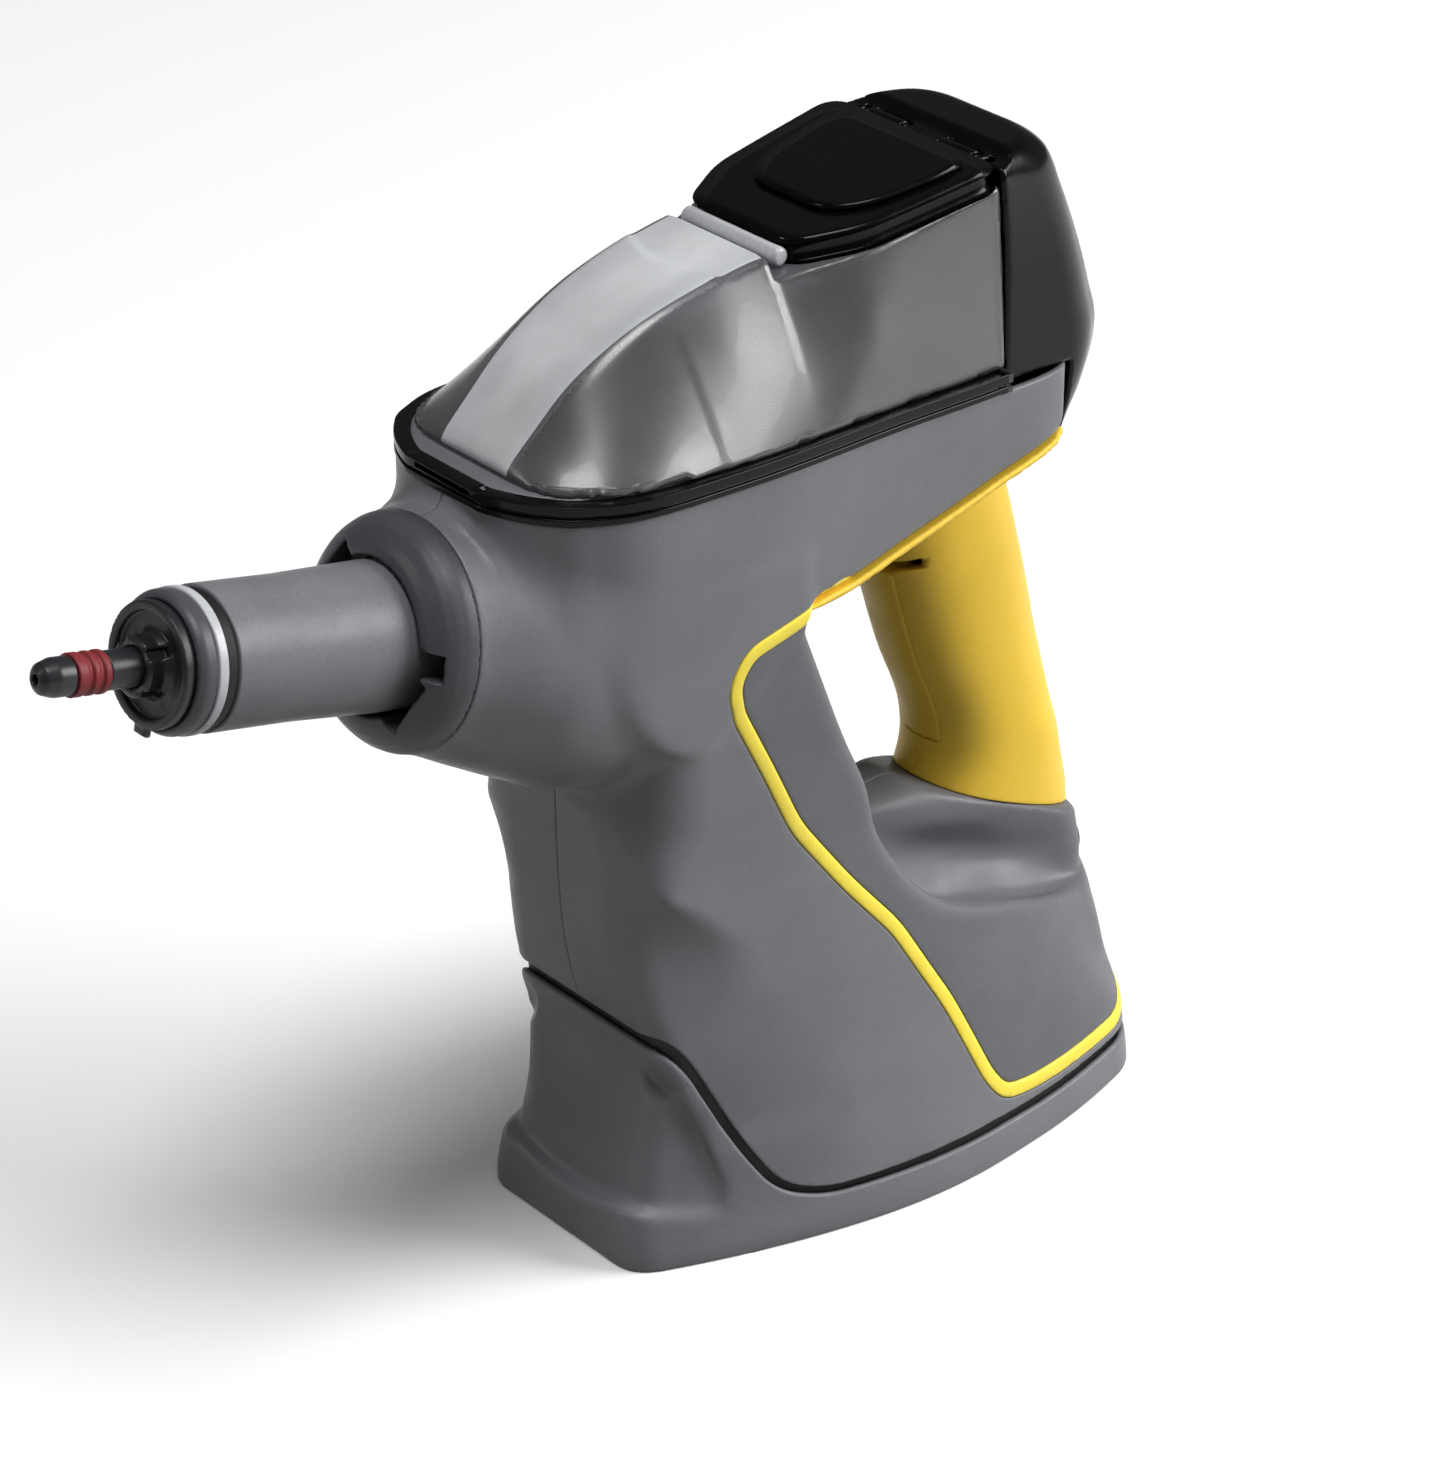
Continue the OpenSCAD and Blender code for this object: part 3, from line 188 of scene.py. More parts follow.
# %% Plastic finishes
def moulded(name, colour, roughness, grain=0.00003, grain_scale=2600, cloud=0.12, **constants):
    made = Finish(name, **constants)
    cloudiness = made.spread(made.noise(38, 4), 0.35, 0.65)
    fleck = made.spread(made.noise(grain_scale * 0.5, 1), 0.3, 0.7)
    tone = cloudiness * 0.6 + fleck * 0.4
    made.varies("Base Color", made.mixed(tone, rgb(colour, 1 - cloud), rgb(colour, 1 + cloud)))
    made.varies("Roughness", made.spread(made.noise(90, 3), 0.3, 0.7, roughness - 0.05, roughness + 0.06))
    if grain:
        made.bump(made.noise(grain_scale, 2), grain)
    return made.material


def glossy(name, colour, roughness, **constants):
    made = Finish(name, **constants)
    smear = made.noise(60, 5, 0.6)
    dust = made.spread(made.noise(900, 2), 0.62, 0.75)
    made.varies("Base Color", made.mixed(dust * 0.35, rgb(colour), rgb(colour, 1.6)))
    made.varies("Roughness", made.spread(smear, 0.3, 0.75, roughness, roughness + 0.12) + dust * 0.1)
    made.bump(made.noise(140, 2), 0.00002)
    return made.material


finishes = {
    "housing": moulded("housing_grey", "#737478", 0.42, cloud=0.08, specular_ior_level=0.3),
    "panel": moulded("panel_grey", "#646569", 0.44, cloud=0.08, specular_ior_level=0.3),
    "plate": moulded("plate_grey", "#4a4b4e", 0.5),
    "yellow_trim": moulded("trim_yellow", "#fbe44e", 0.4, grain=0.00001, cloud=0.03,
                           specular_ior_level=0.4),
    "yellow_grip": moulded("grip_yellow", "#f4cc42", 0.46, grain_scale=1900, cloud=0.03,
                           specular_ior_level=0.3),
    "rubber": moulded("black_rubber", "#101112", 0.6, grain=0.00002, specular_ior_level=0.3),
    "inner_black": moulded("inner_black", "#0c0c0d", 0.5, specular_ior_level=0.25),
    "switch_plastic": moulded("switch_black", "#1d1d1f", 0.4),
    # The nose's grey is set darker than the housing's. This is painted shade, standing for the ring's faces
    # turned away from the lamps.
    "nose": moulded("nose_painted_shade_grey", "#48494d", 0.42, specular_ior_level=0.3),
    "light_band": moulded("band_grey", "#b4b6ba", 0.36, grain=0.00001),
    "nozzle_black": moulded("nozzle_black", "#232427", 0.38, grain=0.00001, specular_ior_level=0.35),
    "tank_fitting": moulded("fitting_grey", "#9a9c9f", 0.4),
    "gloss_black": glossy("gloss_black", "#060607", 0.14, specular_ior_level=0.15),
    "control_white": moulded("control_white", "#dcd8cc", 0.5),
    "pump_plastic": moulded("pump_grey", "#8d9095", 0.45),
    "hose": moulded("hose_white", "#cfd2d2", 0.35, grain=0.0),
    "seal_red": moulded("seal_red", "#7c2a2e", 0.5, grain=0.00001, specular_ior_level=0.3),
    "nozzle_grey": moulded("nozzle_grey", "#6d6e72", 0.42, specular_ior_level=0.3),
}
print("plastics", len(finishes))

# %% [markdown]
# ## Metals and clear plastic
# Turned or drawn metal gets a fine directional streak in its roughness and normal. The tank is
# a smoked clear plastic that lets nearly all of its light pass, so it reads by its reflections, its
# two faces of wall, a slight tint and a satin grey layer whose pale streaks are painted reflections.

# %% Metal and clear finishes
def metal(name, colour, roughness):
    made = Finish(name, metallic=1.0)
    along = made.node("ShaderNodeMapping", {}, {"Vector": made.place(), "Scale": (60, 900, 900)})
    lines = made.noise(1.0, 3, 0.6, at=along)
    patches = made.spread(made.noise(70, 3), 0.3, 0.7)
    made.varies("Base Color", made.mixed(patches, rgb(colour, 0.85), rgb(colour, 1.05)))
    made.varies("Roughness", made.spread(lines, 0.3, 0.7, roughness - 0.06, roughness + 0.1))
    made.bump(lines, 0.00001)
    return made.material


def clear(name, tint, roughness, haze_and_reflection_share):
    """Smoked plastic: glass under a satin grey layer, whose pale streaks are painted reflections."""
    made = Finish(name, transmission_weight=1.0, ior=1.42, coat_weight=0.4, coat_roughness=0.3)
    patches = made.spread(made.noise(26, 3), 0.3, 0.7)
    made.varies("Base Color", made.mixed(patches, rgb(tint, 0.9), rgb(tint)))
    made.varies("Roughness", made.spread(made.noise(80, 4), 0.35, 0.7, roughness, roughness + 0.05))
    made.bump(made.noise(45, 1), 0.0001)
    # The pale streaks of the grey layer, drawn out along x, are painted reflections.
    streaks = made.node("ShaderNodeMapping", {}, {"Vector": made.place(), "Scale": (9, 60, 34)})
    haze_and_reflection_film = made.node("ShaderNodeBsdfPrincipled", {}, {
        "Base Color": made.mixed(made.noise(1.0, 3, at=streaks), rgb("#b4b6ba"), rgb("#e6e8ea")),
        "Roughness": 0.34, "Coat Weight": 0.5, "Coat Roughness": 0.04})
    # How much of the grey layer covers the glass: little on the sides, most of it on the frosted top. Its
    # streaks are painted reflections.
    share = made.spread(made.noise(30, 4), 0.3, 0.75, haze_and_reflection_share * 0.85, haze_and_reflection_share * 1.15)
    made.shows(made.node("ShaderNodeMixShader", {}, {0: share, 1: made.body, 2: haze_and_reflection_film}))
    return made.material


finishes.update({
    "screw_steel": metal("screw_steel", "#b9bbbe", 0.32),
    "pipe_steel": metal("pipe_steel", "#c4c6c8", 0.28),
    "boiler_alu": metal("boiler_aluminium", "#a9abad", 0.42),
    "terminal_brass": metal("terminal_brass", "#c2a35a", 0.3),
    # Both tank finishes carry the painted reflection streaks. On the top, the light grey layer covers most of
    # the glass.
    "clear_tank": clear("smoked_clear", "#8e9094", 0.2, 0.1),
    "frosted_top": clear("frosted_top", "#dcdee0", 0.2, 0.85),
})
slot_of = {part["node"]: part["material_slot"] for part in frame["record"]["subparts"]}
for name, thing in frame["nodes"].items():
    for place in thing.material_slots:
        place.material = finishes[slot_of[name]]
print("finishes", len(finishes))

# %% [markdown]
# ## Floor and light
# A pale floor takes the shadow. What the camera, gloss and glass see of it is near white, and
# the light that it throws back up is held low, so that the undersides stay dark as they do
# over a deep sweep of paper. One broad lamp behind on the right models the sides, a second
# overhead lights the tops, a small weak one in front lifts the nozzle, and a faint plain world
# fills the rest.

# %% Floor
def mesh_object(name, points, faces, smooth=True):
    mesh = bpy.data.meshes.new(name)
    mesh.from_pydata([tuple(p) for p in points], [], [tuple(f) for f in faces])
    mesh.validate()
    mesh.polygons.foreach_set("use_smooth", [smooth] * len(mesh.polygons))
    made = bpy.data.objects.new(name, mesh)
    bpy.context.scene.collection.objects.link(made)
    return made


REACH = 12
floor = mesh_object("floor", [(-REACH, -REACH, 0), (REACH, -REACH, 0), (REACH, REACH, 0), (-REACH, REACH, 0)],
                    [(0, 1, 2, 3)], False)
paper = Finish("floor_paper")
paper.tree.nodes.remove(paper.shader)
seen, gloss, through = (paper.node("ShaderNodeLightPath", output=ray) for ray in (
    "Is Camera Ray", "Is Glossy Ray", "Is Transmission Ray"))
for ray in (gloss, through):
    seen = seen.math("MAXIMUM", seen, ray)
low_bounce = paper.node("ShaderNodeBsdfDiffuse", {}, {"Color": (0.16, 0.16, 0.16, 1)})
white = paper.node("ShaderNodeBsdfDiffuse", {}, {"Color": (0.96, 0.96, 0.96, 1)})
paper.shows(paper.node("ShaderNodeMixShader", {}, {0: seen, 1: low_bounce, 2: white}))
floor.data.materials.append(paper.material)
print("floor", 2 * REACH, "m wide")

# %% World and lamps
world = bpy.data.worlds.new("studio")
bpy.context.scene.world = world
world.use_nodes = True
world.node_tree.nodes["Background"].inputs["Color"].default_value = (1, 1, 1, 1)
world.node_tree.nodes["Background"].inputs["Strength"].default_value = 0.12


def lamp(name, place, size, power):
    made = bpy.data.objects.new(name, bpy.data.lights.new(name, "AREA"))
    made.data.shape, made.data.size, made.data.energy = "DISK", size, power
    made.location = place
    made.rotation_mode = "QUATERNION"
    made.rotation_quaternion = (AIM - Vector(place)).to_track_quat("-Z", "Y")
    bpy.context.scene.collection.objects.link(made)


lamp("key", (-2.1, 1.7, 1.5), 1.8, 100)
lamp("top", (0.2, 0.6, 3.1), 1.4, 57)
lamp("front", (2.0, -0.9, 1.4), 0.4, 8)

# %% [markdown]
# ## Forms as distances
# The shells swell, narrow and run into each other, which is hard to draw as one surface and
# easy to state as a distance: a function that is negative inside and positive outside. Each
# plane or swept outline is one such function. The greater of two is what they share and the
# lesser is both together, and a soft greater or lesser rounds the edge or fillets the corner
# with a radius that is one number. The sizes repeat those of the solids, in millimetres.

# %% Curves
def flow(*table):
    """A smooth curve through (place, value) pairs that doesn't overshoot."""
    x, y = np.array(table, float).T
    steep = np.diff(y) / np.diff(x)
    slope = np.empty_like(x)
    slope[0], slope[-1] = steep[0], steep[-1]
    same = steep[1:] * steep[:-1] > 0
    limit = 3 * np.minimum(abs(steep[1:]), abs(steep[:-1]))
    middle = (steep[1:] + steep[:-1]) / 2
    slope[1:-1] = np.where(same, np.clip(middle, -limit, limit), 0)

    def at(q):
        q = np.clip(q, x[0], x[-1])
        i = np.clip(np.searchsorted(x, q) - 1, 0, len(x) - 2)
        h = x[i + 1] - x[i]
        u = (q - x[i]) / h
        return ((1 + 2 * u) * (1 - u) ** 2 * y[i] + u * (1 - u) ** 2 * h * slope[i]
                + u * u * (3 - 2 * u) * y[i + 1] + u * u * (u - 1) * h * slope[i + 1])
    return at


print("half-way up a gentle rise", float(flow((0, 0), (1, 2), (2, 3))(0.5)))

# %% Distance helpers
def greater(a, b, r):
    """What two forms share, with an edge rounded over about r."""
    soft = np.maximum(r - abs(a - b), 0)
    return np.maximum(a, b) + soft * soft / (4 * r)


def lesser(a, b, r):
    """Two forms together, with a fillet of about r."""
    return -greater(-a, -b, r)


def beyond(x, y, ax, ay, bx, by):
    """Distance to the right of the line from a to b, in plan."""
    ux, uy = bx - ax, by - ay
    return ((x - ax) * uy - (y - ay) * ux) / np.hypot(ux, uy)


def past(curve, x, y):
    """How far y lies above a curve of x, measured square to it."""
    lean = curve(x + 0.5) - curve(x - 0.5)
    return (y - curve(x)) / np.sqrt(1 + lean * lean)


print("a soft edge adds", greater(0.0, 0.0, 4.0), "mm where both are zero")

# %% Lines of the housing
BASE_REAR = 88
front_line = flow((-6, 83), (0, 83), (14, 82), (22, 79), (40, 75.5), (58, 74), (75, 78), (90, 80.5),
                  (140, 82), (190, 82))
side_line = flow((-6, 54), (0, 54), (12, 51), (30, 47), (60, 41), (89, 36.5), (110, 35), (140, 36),
                 (170, 38), (200, 38.5))
bow_line = flow((-6, 66.3), (0, 66.3), (10, 65), (20, 62.5), (35, 60.5), (90, 60.3), (108, 64), (122, 71),
                (140, 78), (180, 82))
shoulder_line = flow((0, 0.8), (15, 0.84), (30, 0.9), (60, 0.93), (90, 0.95), (180, 0.98))
crest_line = flow((44, -118), (50, -94), (54, -72), (57.5, -54), (64, -34), (72, -15.5), (81, -4.5),
                  (90, 2), (100, 7.4), (115, 11.4), (131, 19), (148, 26.4), (168, 35), (180, 40))
neck_line = flow((40, 28), (46, 27.5), (55, 24), (62, 20), (70, 17.6), (80, 16), (88, 12), (96, 8))
deck_line = flow((-60, 29), (-57, 29), (-52, 31.5), (-28, 34.2), (5, 35.6), (39, 38), (55, 38.5),
                 (70, 38.5), (87, 37), (95, 34), (103, 29), (112, 15), (114, 8))
under_line = flow((-60, 188.4), (-57, 187.9), (-30, 183.8), (-5, 179), (17, 175), (39, 172.4), (55, 160),
                  (70, 150), (87, 160), (95, 178), (103, 190), (112, 203))


COLLAR_RISE, COLLAR_COS = 0.46, 0.908
RIM_RISE = 0.06


def collar_z(x):
    return 64 + COLLAR_RISE * (x + 82)


def rim_z(x):
    return 206 + RIM_RISE * (x + 54)


BOW = (0.547, 0.837)
NOSE = np.array([130.2, 0, 186.4])
PITCH = math.radians(13.6)
print("half-width at the waist", float(side_line(110)))

# %% [markdown]
# ## The housing's form
# One function for the whole outer form: the column with its slanted bow faces, the foot that
# runs out to the rear, the neck under the handle, the deck under the tank and the barrel that
# flares out of the nose ring. The column gives the front and the flanks, the foot's crest gives
# the rear, and what the two share is the body. Deck, barrel and neck are then added to it with
# fillets of their own.

# %% Column
brow_line = flow((0, 3.6), (90, 4), (108, 3), (125, 0), (140, 0))
shoulder_at = flow((-6, 55), (0, 55), (10, 53), (20, 48.5), (30, 44.5), (38, 41), (52, 43.5), (70, 47.5),
                   (87, 53.5), (100, 66), (108, 75), (122, 78), (190, 78.5))
flank_share = flow((0, 0.92), (30, 0.96), (50, 0.97), (70, 1))
flank_soft = flow((0, 8), (60, 8), (100, 3.5), (125, 1.5))
FLANK_BEND = 31
crease = flow((0, 12), (30, 8), (60, 4), (80, 1.8), (106, 1.6), (114, 6), (126, 13), (150, 12), (190, 12))


def bow_corners(z):
    """The front face, and both ends of the slanted bow beside it."""
    f = front_line(z)
    s = shoulder_line(z) * side_line(z)
    corner_y = np.minimum((bow_line(z) - BOW[0] * f) / BOW[1], s - 8) + brow_line(z)
    return f, corner_y, np.minimum(shoulder_at(z), f - 4), s


def column(x, y, z):
    f, corner_y, corner_x, s = bow_corners(z)
    w = side_line(z)
    bend_x, bend_y = FLANK_BEND + 0 * z, flank_share(z) * w
    front = greater(x - f, beyond(x, y, f, corner_y, corner_x, s), 7)
    flank = greater(beyond(x, y, corner_x, s, bend_x, bend_y), beyond(x, y, bend_x, bend_y, 0 * z, w),
                    flank_soft(z))
    return greater(front, flank, crease(z))


print("distance at the middle of the column", round(float(column(50.0, 0.0, 120.0)), 1))

# %% Foot
foot_middle = flow((0, 0.99), (45, 0.97), (60, 0.93))
foot_quarter = flow((0, 0.89), (14, 0.89), (30, 0.84), (45, 0.74), (60, 0.66))
foot_corner = flow((0, 0.79), (14, 0.79), (30, 0.62), (45, 0.50), (60, 0.42))
foot_end = flow((0, 0), (14, 1), (35, 1), (58, -2))
across_valley = flow((20, 1), (26.5, 0.5), (33, 0))
along_valley = flow((-92, 0), (-72, 1), (-18, 1), (-2, 0))
VALLEY_DEPTH = 9


def foot_rear(x, y, z):
    """Sides and rear of the foot, and its top: crests that climb into the pillar, with a valley between."""
    w = side_line(z)
    back = -BASE_REAR - foot_end(z)
    c = foot_corner(z) * w
    corners = [(0 * z, w), (0 * z - 38, foot_middle(z) * w), (0 * z - 67, foot_quarter(z) * w),
               (0 * z - 80, c), (back, 0.45 * c)]
    d = back - x
    for (ax, ay), (bx, by) in zip(corners, corners[1:]):
        d = greater(d, beyond(x, y, ax, ay, bx, by), 9)
    valley = VALLEY_DEPTH * across_valley(y) * along_valley(x)
    return greater(greater(d, -past(crest_line, z + valley, x), 3.5), z - 185, 3)


print("54 mm up, the crest stands at x", round(float(crest_line(54)), 1))

# %% Neck, deck and barrel
PINCH = 4.5


def neck(x, y, z):
    """Under the grip: pinched below the collar, with a low bridge to the pillar."""
    below = collar_z(x) - z
    n = neck_line(z) - PINCH * np.exp(-((below - 17) / 9) ** 2)
    d = greater(y - n, beyond(x, y, -78 + 0 * z, n, -86 + 0 * z, 6 + 0 * z), 6)
    d = greater(greater(d, -86 - x, 4), x - 6, 6)
    return greater(greater(d, z - 89.5, 5), -below * COLLAR_COS, 1.2)


def deck(x, y, z):
    d = greater(past(deck_line, x, y), -past(under_line, x, z), 6)
    return greater(greater(d, x - 112.5, 3), -57 - x, 4)


barrel_line = flow((-104, 24), (-85, 34), (-70, 39.5), (-56, 42), (-48, 41.8), (-35, 38), (-20, 33),
                   (-4.7, 28), (4, 27.4))
squash = flow((-100, 1.12), (-50, 1.1), (-28, 1), (4, 1))


def barrel(x, y, z):
    """A flare round the nozzle's axis, squashed sideways behind."""
    ahead, up = x - NOSE[0], z - NOSE[2]
    s = ahead * math.cos(PITCH) + up * math.sin(PITCH)
    r = np.sqrt((y * squash(s)) ** 2 + (up * math.cos(PITCH) - ahead * math.sin(PITCH)) ** 2)
    d = greater(past(barrel_line, s, r), s - 3, 1)
    return greater(greater(d, -104 - s, 6), y - side_line(z), 6)


print("widest place of the barrel", float(barrel_line(-56)))

# %% Housing form
def housing_form(x, y, z):
    y = abs(y)
    d = greater(column(x, y, z), foot_rear(x, y, z), 4)
    d = lesser(d, deck(x, y, z), 8)
    d = lesser(d, barrel(x, y, z), 5)
    d = lesser(d, neck(x, y, z), 7)
    return greater(d, y - side_line(z), 1)


print("distance at the middle of the pillar", round(float(housing_form(50.0, 0.0, 120.0)), 1))

# %% [markdown]
# ## From a distance to a mesh
# The function is sampled on a grid, and every cell where its sign changes gets one point.
# Neighbouring points are joined into faces, and each point is then pushed along the slope
# until the distance is zero, so that the surface is exact and not stepped. This is simpler
# than the better known marching cubes and gives evener faces.

# %% Settling points
def slope_of(form, p, reach=0.05):
    x, y, z = p.T
    return np.stack([form(x + reach, y, z) - form(x - reach, y, z),
                     form(x, y + reach, z) - form(x, y - reach, z),
                     form(x, y, z + reach) - form(x, y, z - reach)], 1) / (2 * reach)


def settle(form, p, rounds=3, limit=1.0):
    for _ in range(rounds):
        g = slope_of(form, p)
        step = (form(*p.T) / np.maximum((g * g).sum(1), 0.1))[:, None] * g
        p = p - np.clip(step, -limit, limit)
    return p


def relaxed(p, quads):
    """Every point half-way to the mean of its neighbours."""
    a, b = np.concatenate([quads[:, [i, (i + 1) % 4]] for i in range(4)]).T
    count = np.maximum(np.bincount(a, minlength=len(p)), 1)
    mean = np.stack([np.bincount(a, p[b, i], len(p)) for i in range(3)], 1) / count[:, None]
    return 0.5 * (p + mean)


near_pillar = settle(housing_form, np.array([[60.0, 45.0, 120.0]]), 6)
print("a point beside the pillar settles at", near_pillar.round(2))

# %% Surface from a distance
def surface(form, low, high, cell):
    """The skin of a form inside a box, as points and triangles."""
    axes = [np.arange(a, b + cell, cell) for a, b in zip(low, high)]
    sizes = [len(a) for a in axes]
    inside = np.broadcast_to(form(*np.meshgrid(*axes, indexing="ij", sparse=True)), sizes) < 0
    last = [n - 1 for n in sizes]
    count = sum(inside[i:last[0] + i, j:last[1] + j, k:last[2] + k].astype(np.int8)
                for i in (0, 1) for j in (0, 1) for k in (0, 1))
    mixed = (count > 0) & (count < 8)
    number = np.full(mixed.shape, -1)
    number[mixed] = np.arange(mixed.sum())
    p = np.array(low) + (np.argwhere(mixed) + 0.5) * cell
    quads = []
    for a in range(3):
        b, c = (a + 1) % 3, (a + 2) % 3
        near, far = (np.take(inside, np.arange(last[a]) + k, a) for k in (0, 1))
        e = np.argwhere(near != far)
        e = e[(e[:, b] > 0) & (e[:, c] > 0) & (e[:, b] < last[b]) & (e[:, c] < last[c])]
        ub, uc = np.eye(3, dtype=int)[b], np.eye(3, dtype=int)[c]
        q = np.stack([number[tuple((e - k).T)] for k in (0 * ub, ub, ub + uc, uc)], 1)
        flip = ~near[tuple(e.T)]
        q[flip] = q[flip][:, ::-1]
        quads.append(q)
    quads = np.concatenate(quads)
    p = settle(form, p, 4, cell)
    for _ in range(3):
        p = settle(form, relaxed(p, quads), 2, cell)
    one, other = (((p[quads[:, i]] - p[quads[:, i + 2]]) ** 2).sum(1) for i in (0, 1))
    longer = one > other
    quads[longer] = np.roll(quads[longer], 1, 1)
    return p, np.concatenate([quads[:, [0, 1, 2]], quads[:, [0, 2, 3]]])


skin = surface(housing_form, (-94, -2.4, -3), (133, 57.6, 220), 1.3)
print("housing skin", len(skin[0]), "points", len(skin[1]), "triangles")

# %% [markdown]
# ## Cutting a skin into shells
# The housing halves, their side panels, the trim and the base all lie in the same outer form,
# and meet along lines that a mould maker would draw on the side view. So the skin is made
# once and cut along these lines. A cut is again a distance: triangles that it crosses are
# split where it is zero. Two more splits just inside the edge give the rows of points that
# let the edge be rounded, and a second layer of points behind closes the shell.

# %% Splitting along a line
def split(p, tri, d):
    """Splits every triangle that the line d = 0 crosses."""
    side = np.where(abs(d) < 1e-6, 0, np.sign(d)).astype(int)
    s = side[tri]
    crossed = (s.min(1) < 0) & (s.max(1) > 0)
    plain, cut = tri[~crossed], tri[crossed]
    if not len(cut):
        return p, tri
    s = side[cut]
    touching = (s == 0).any(1)
    lone = np.where(touching, (s == 0).argmax(1),
                    (s * np.where(s.sum(1) > 0, -1, 1)[:, None]).argmax(1))
    a, b, c = (cut[np.arange(len(cut)), (lone + k) % 3] for k in range(3))
    ends = np.concatenate([np.stack([b, c], 1)[touching], np.stack([a, b], 1)[~touching],
                           np.stack([a, c], 1)[~touching]])
    ends.sort(1)
    pairs, back_to = np.unique(ends, axis=0, return_inverse=True)
    back_to = back_to.reshape(-1) + len(p)
    u, v = pairs.T
    share = (d[u] / (d[u] - d[v]))[:, None]
    p = np.concatenate([p, p[u] * (1 - share) + p[v] * share])
    n, m = touching.sum(), (~touching).sum()
    on_bc, on_ab, on_ac = back_to[:n], back_to[n:n + m], back_to[n + m:]
    at, bt, ct = a[touching], b[touching], c[touching]
    a, b, c = a[~touching], b[~touching], c[~touching]
    parts = [plain] + [np.stack(t, 1) for t in (
        (at, bt, on_bc), (at, on_bc, ct), (a, on_ab, on_ac), (on_ab, b, c), (on_ab, c, on_ac))]
    return p, np.concatenate(parts)


print("splitting ready")

# %% Trimming to an edge
def trimmed(p, tri, cut, rows, cell=1.3):
    """Keeps what lies where the cut is negative, with rows of points just inside the edge."""
    d = cut(p)
    near = abs(d) < 0.3 * cell
    reach = 0.05
    g = np.stack([cut(p[near] + reach * e) - cut(p[near] - reach * e) for e in np.eye(3)], 1) / (2 * reach)
    p = p.copy()
    p[near] -= d[near, None] * g / np.maximum((g * g).sum(1), 0.2)[:, None]
    d = cut(p)
    d[near] = np.where(abs(d[near]) < 0.02, 0, d[near])
    p, tri = split(p, tri, d)
    d = cut(p)
    tri = tri[d[tri].mean(1) < 0]
    for row in rows:
        p, tri = split(p, tri, cut(p) + row)
    used, tri = np.unique(tri, return_inverse=True)
    return p[used], tri.reshape(-1, 3)


print("trimming ready")

# %% Thickening into a shell
def shell(p, tri, form, cuts, thick, sunk=0.0, edge=0.5, crown=0.0):
    """A closed shell cut from a skin: edges rounded, and sunk or crowned if asked."""
    for cut in cuts:
        p, tri = trimmed(p, tri, cut, (edge, edge * 0.4, edge * 0.12) if edge else ())
    if not len(tri):
        raise ValueError("a cut left nothing")
    normal = slope_of(form, p, 0.2)
    normal /= np.maximum(np.linalg.norm(normal, axis=1), 1e-6)[:, None]
    inward = np.full(len(p), float(sunk))
    if edge and cuts:
        inside = -np.max([cut(p) for cut in cuts], axis=0)
        over = np.clip(edge - inside, 0, edge)
        inward += edge - np.sqrt(np.maximum(edge * edge - over * over, 0))
        inward -= crown * np.clip(inside / 1.6, 0, 1) ** 0.5
    outer = p - normal * inward[:, None]
    inner = p - normal * (sunk + thick)
    n = len(p)
    sides = np.concatenate([tri[:, [0, 1]], tri[:, [1, 2]], tri[:, [2, 0]]])
    key = np.sort(sides, 1)
    _, where, times = np.unique(key, axis=0, return_inverse=True, return_counts=True)
    rim = sides[times[where.reshape(-1)] == 1]
    a, b = rim.T
    walls = np.concatenate([np.stack([b, a, a + n], 1), np.stack([b, a + n, b + n], 1)])
    return np.concatenate([outer, inner]), np.concatenate([tri, tri[:, ::-1] + n, walls])


print("shells ready")

# %% Pieces
def joined(*parts):
    points, faces, start = [], [], 0
    for p, f in parts:
        points.append(p)
        faces.append(np.asarray(f) + start)
        start += len(p)
    return np.concatenate(points), np.concatenate(faces)


def mirrored(part):
    p, tri = part
    return p * (1, -1, 1), tri[:, ::-1]


def piece(name, part, finish, body="steamer_body", replaces=()):
    made = mesh_object(name, part[0] * MM, part[1])
    made.data.materials.append(finishes[finish])
    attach(made, body)
    if replaces:
        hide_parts(*replaces)
    return made


SIDES = (("left", lambda part: part), ("right", mirrored))

# %% [markdown]
# ## Lines on the side view
# The parting line of the base, the loop of the yellow trim and the rim of the deck are drawn
# as paths of [x, z] points with softly bent corners. A path's distance is negative inside its
# loop, so one function serves for a cut, a band along the line or a margin beside it.

# %% Side-view lines
def bent(points, reach):
    """A closed path whose corners are replaced by soft bends."""
    pts = np.array(points, float)
    out = []
    for before, here, after in zip(np.roll(pts, 1, 0), pts, np.roll(pts, -1, 0)):
        a, c = before - here, after - here
        d = min(reach, 0.48 * np.hypot(*a), 0.48 * np.hypot(*c))
        p, q = here + a * d / np.hypot(*a), here + c * d / np.hypot(*c)
        out += [(1 - t) ** 2 * p + 2 * t * (1 - t) * here + t * t * q for t in np.linspace(0, 1, 7)]
    return np.array(out)


def loop_distance(path, x, z):
    """Distance to a closed path, negative inside."""
    best = np.full(x.shape, 1e18)
    inside = np.zeros(x.shape, bool)
    for (ax, az), (bx, bz) in zip(path, np.roll(path, -1, 0)):
        ux, uz = bx - ax, bz - az
        t = np.clip(((x - ax) * ux + (z - az) * uz) / max(ux * ux + uz * uz, 1e-12), 0, 1)
        best = np.minimum(best, (x - ax - t * ux) ** 2 + (z - az - t * uz) ** 2)
        if az != bz:
            inside ^= ((az > z) != (bz > z)) & (x < ux * (z - az) / uz + ax)
    return np.where(inside, -1, 1) * np.sqrt(best)


print("a square with bent corners has", len(bent([(0, 0), (1, 0), (1, 1), (0, 1)], 0.2)), "points")

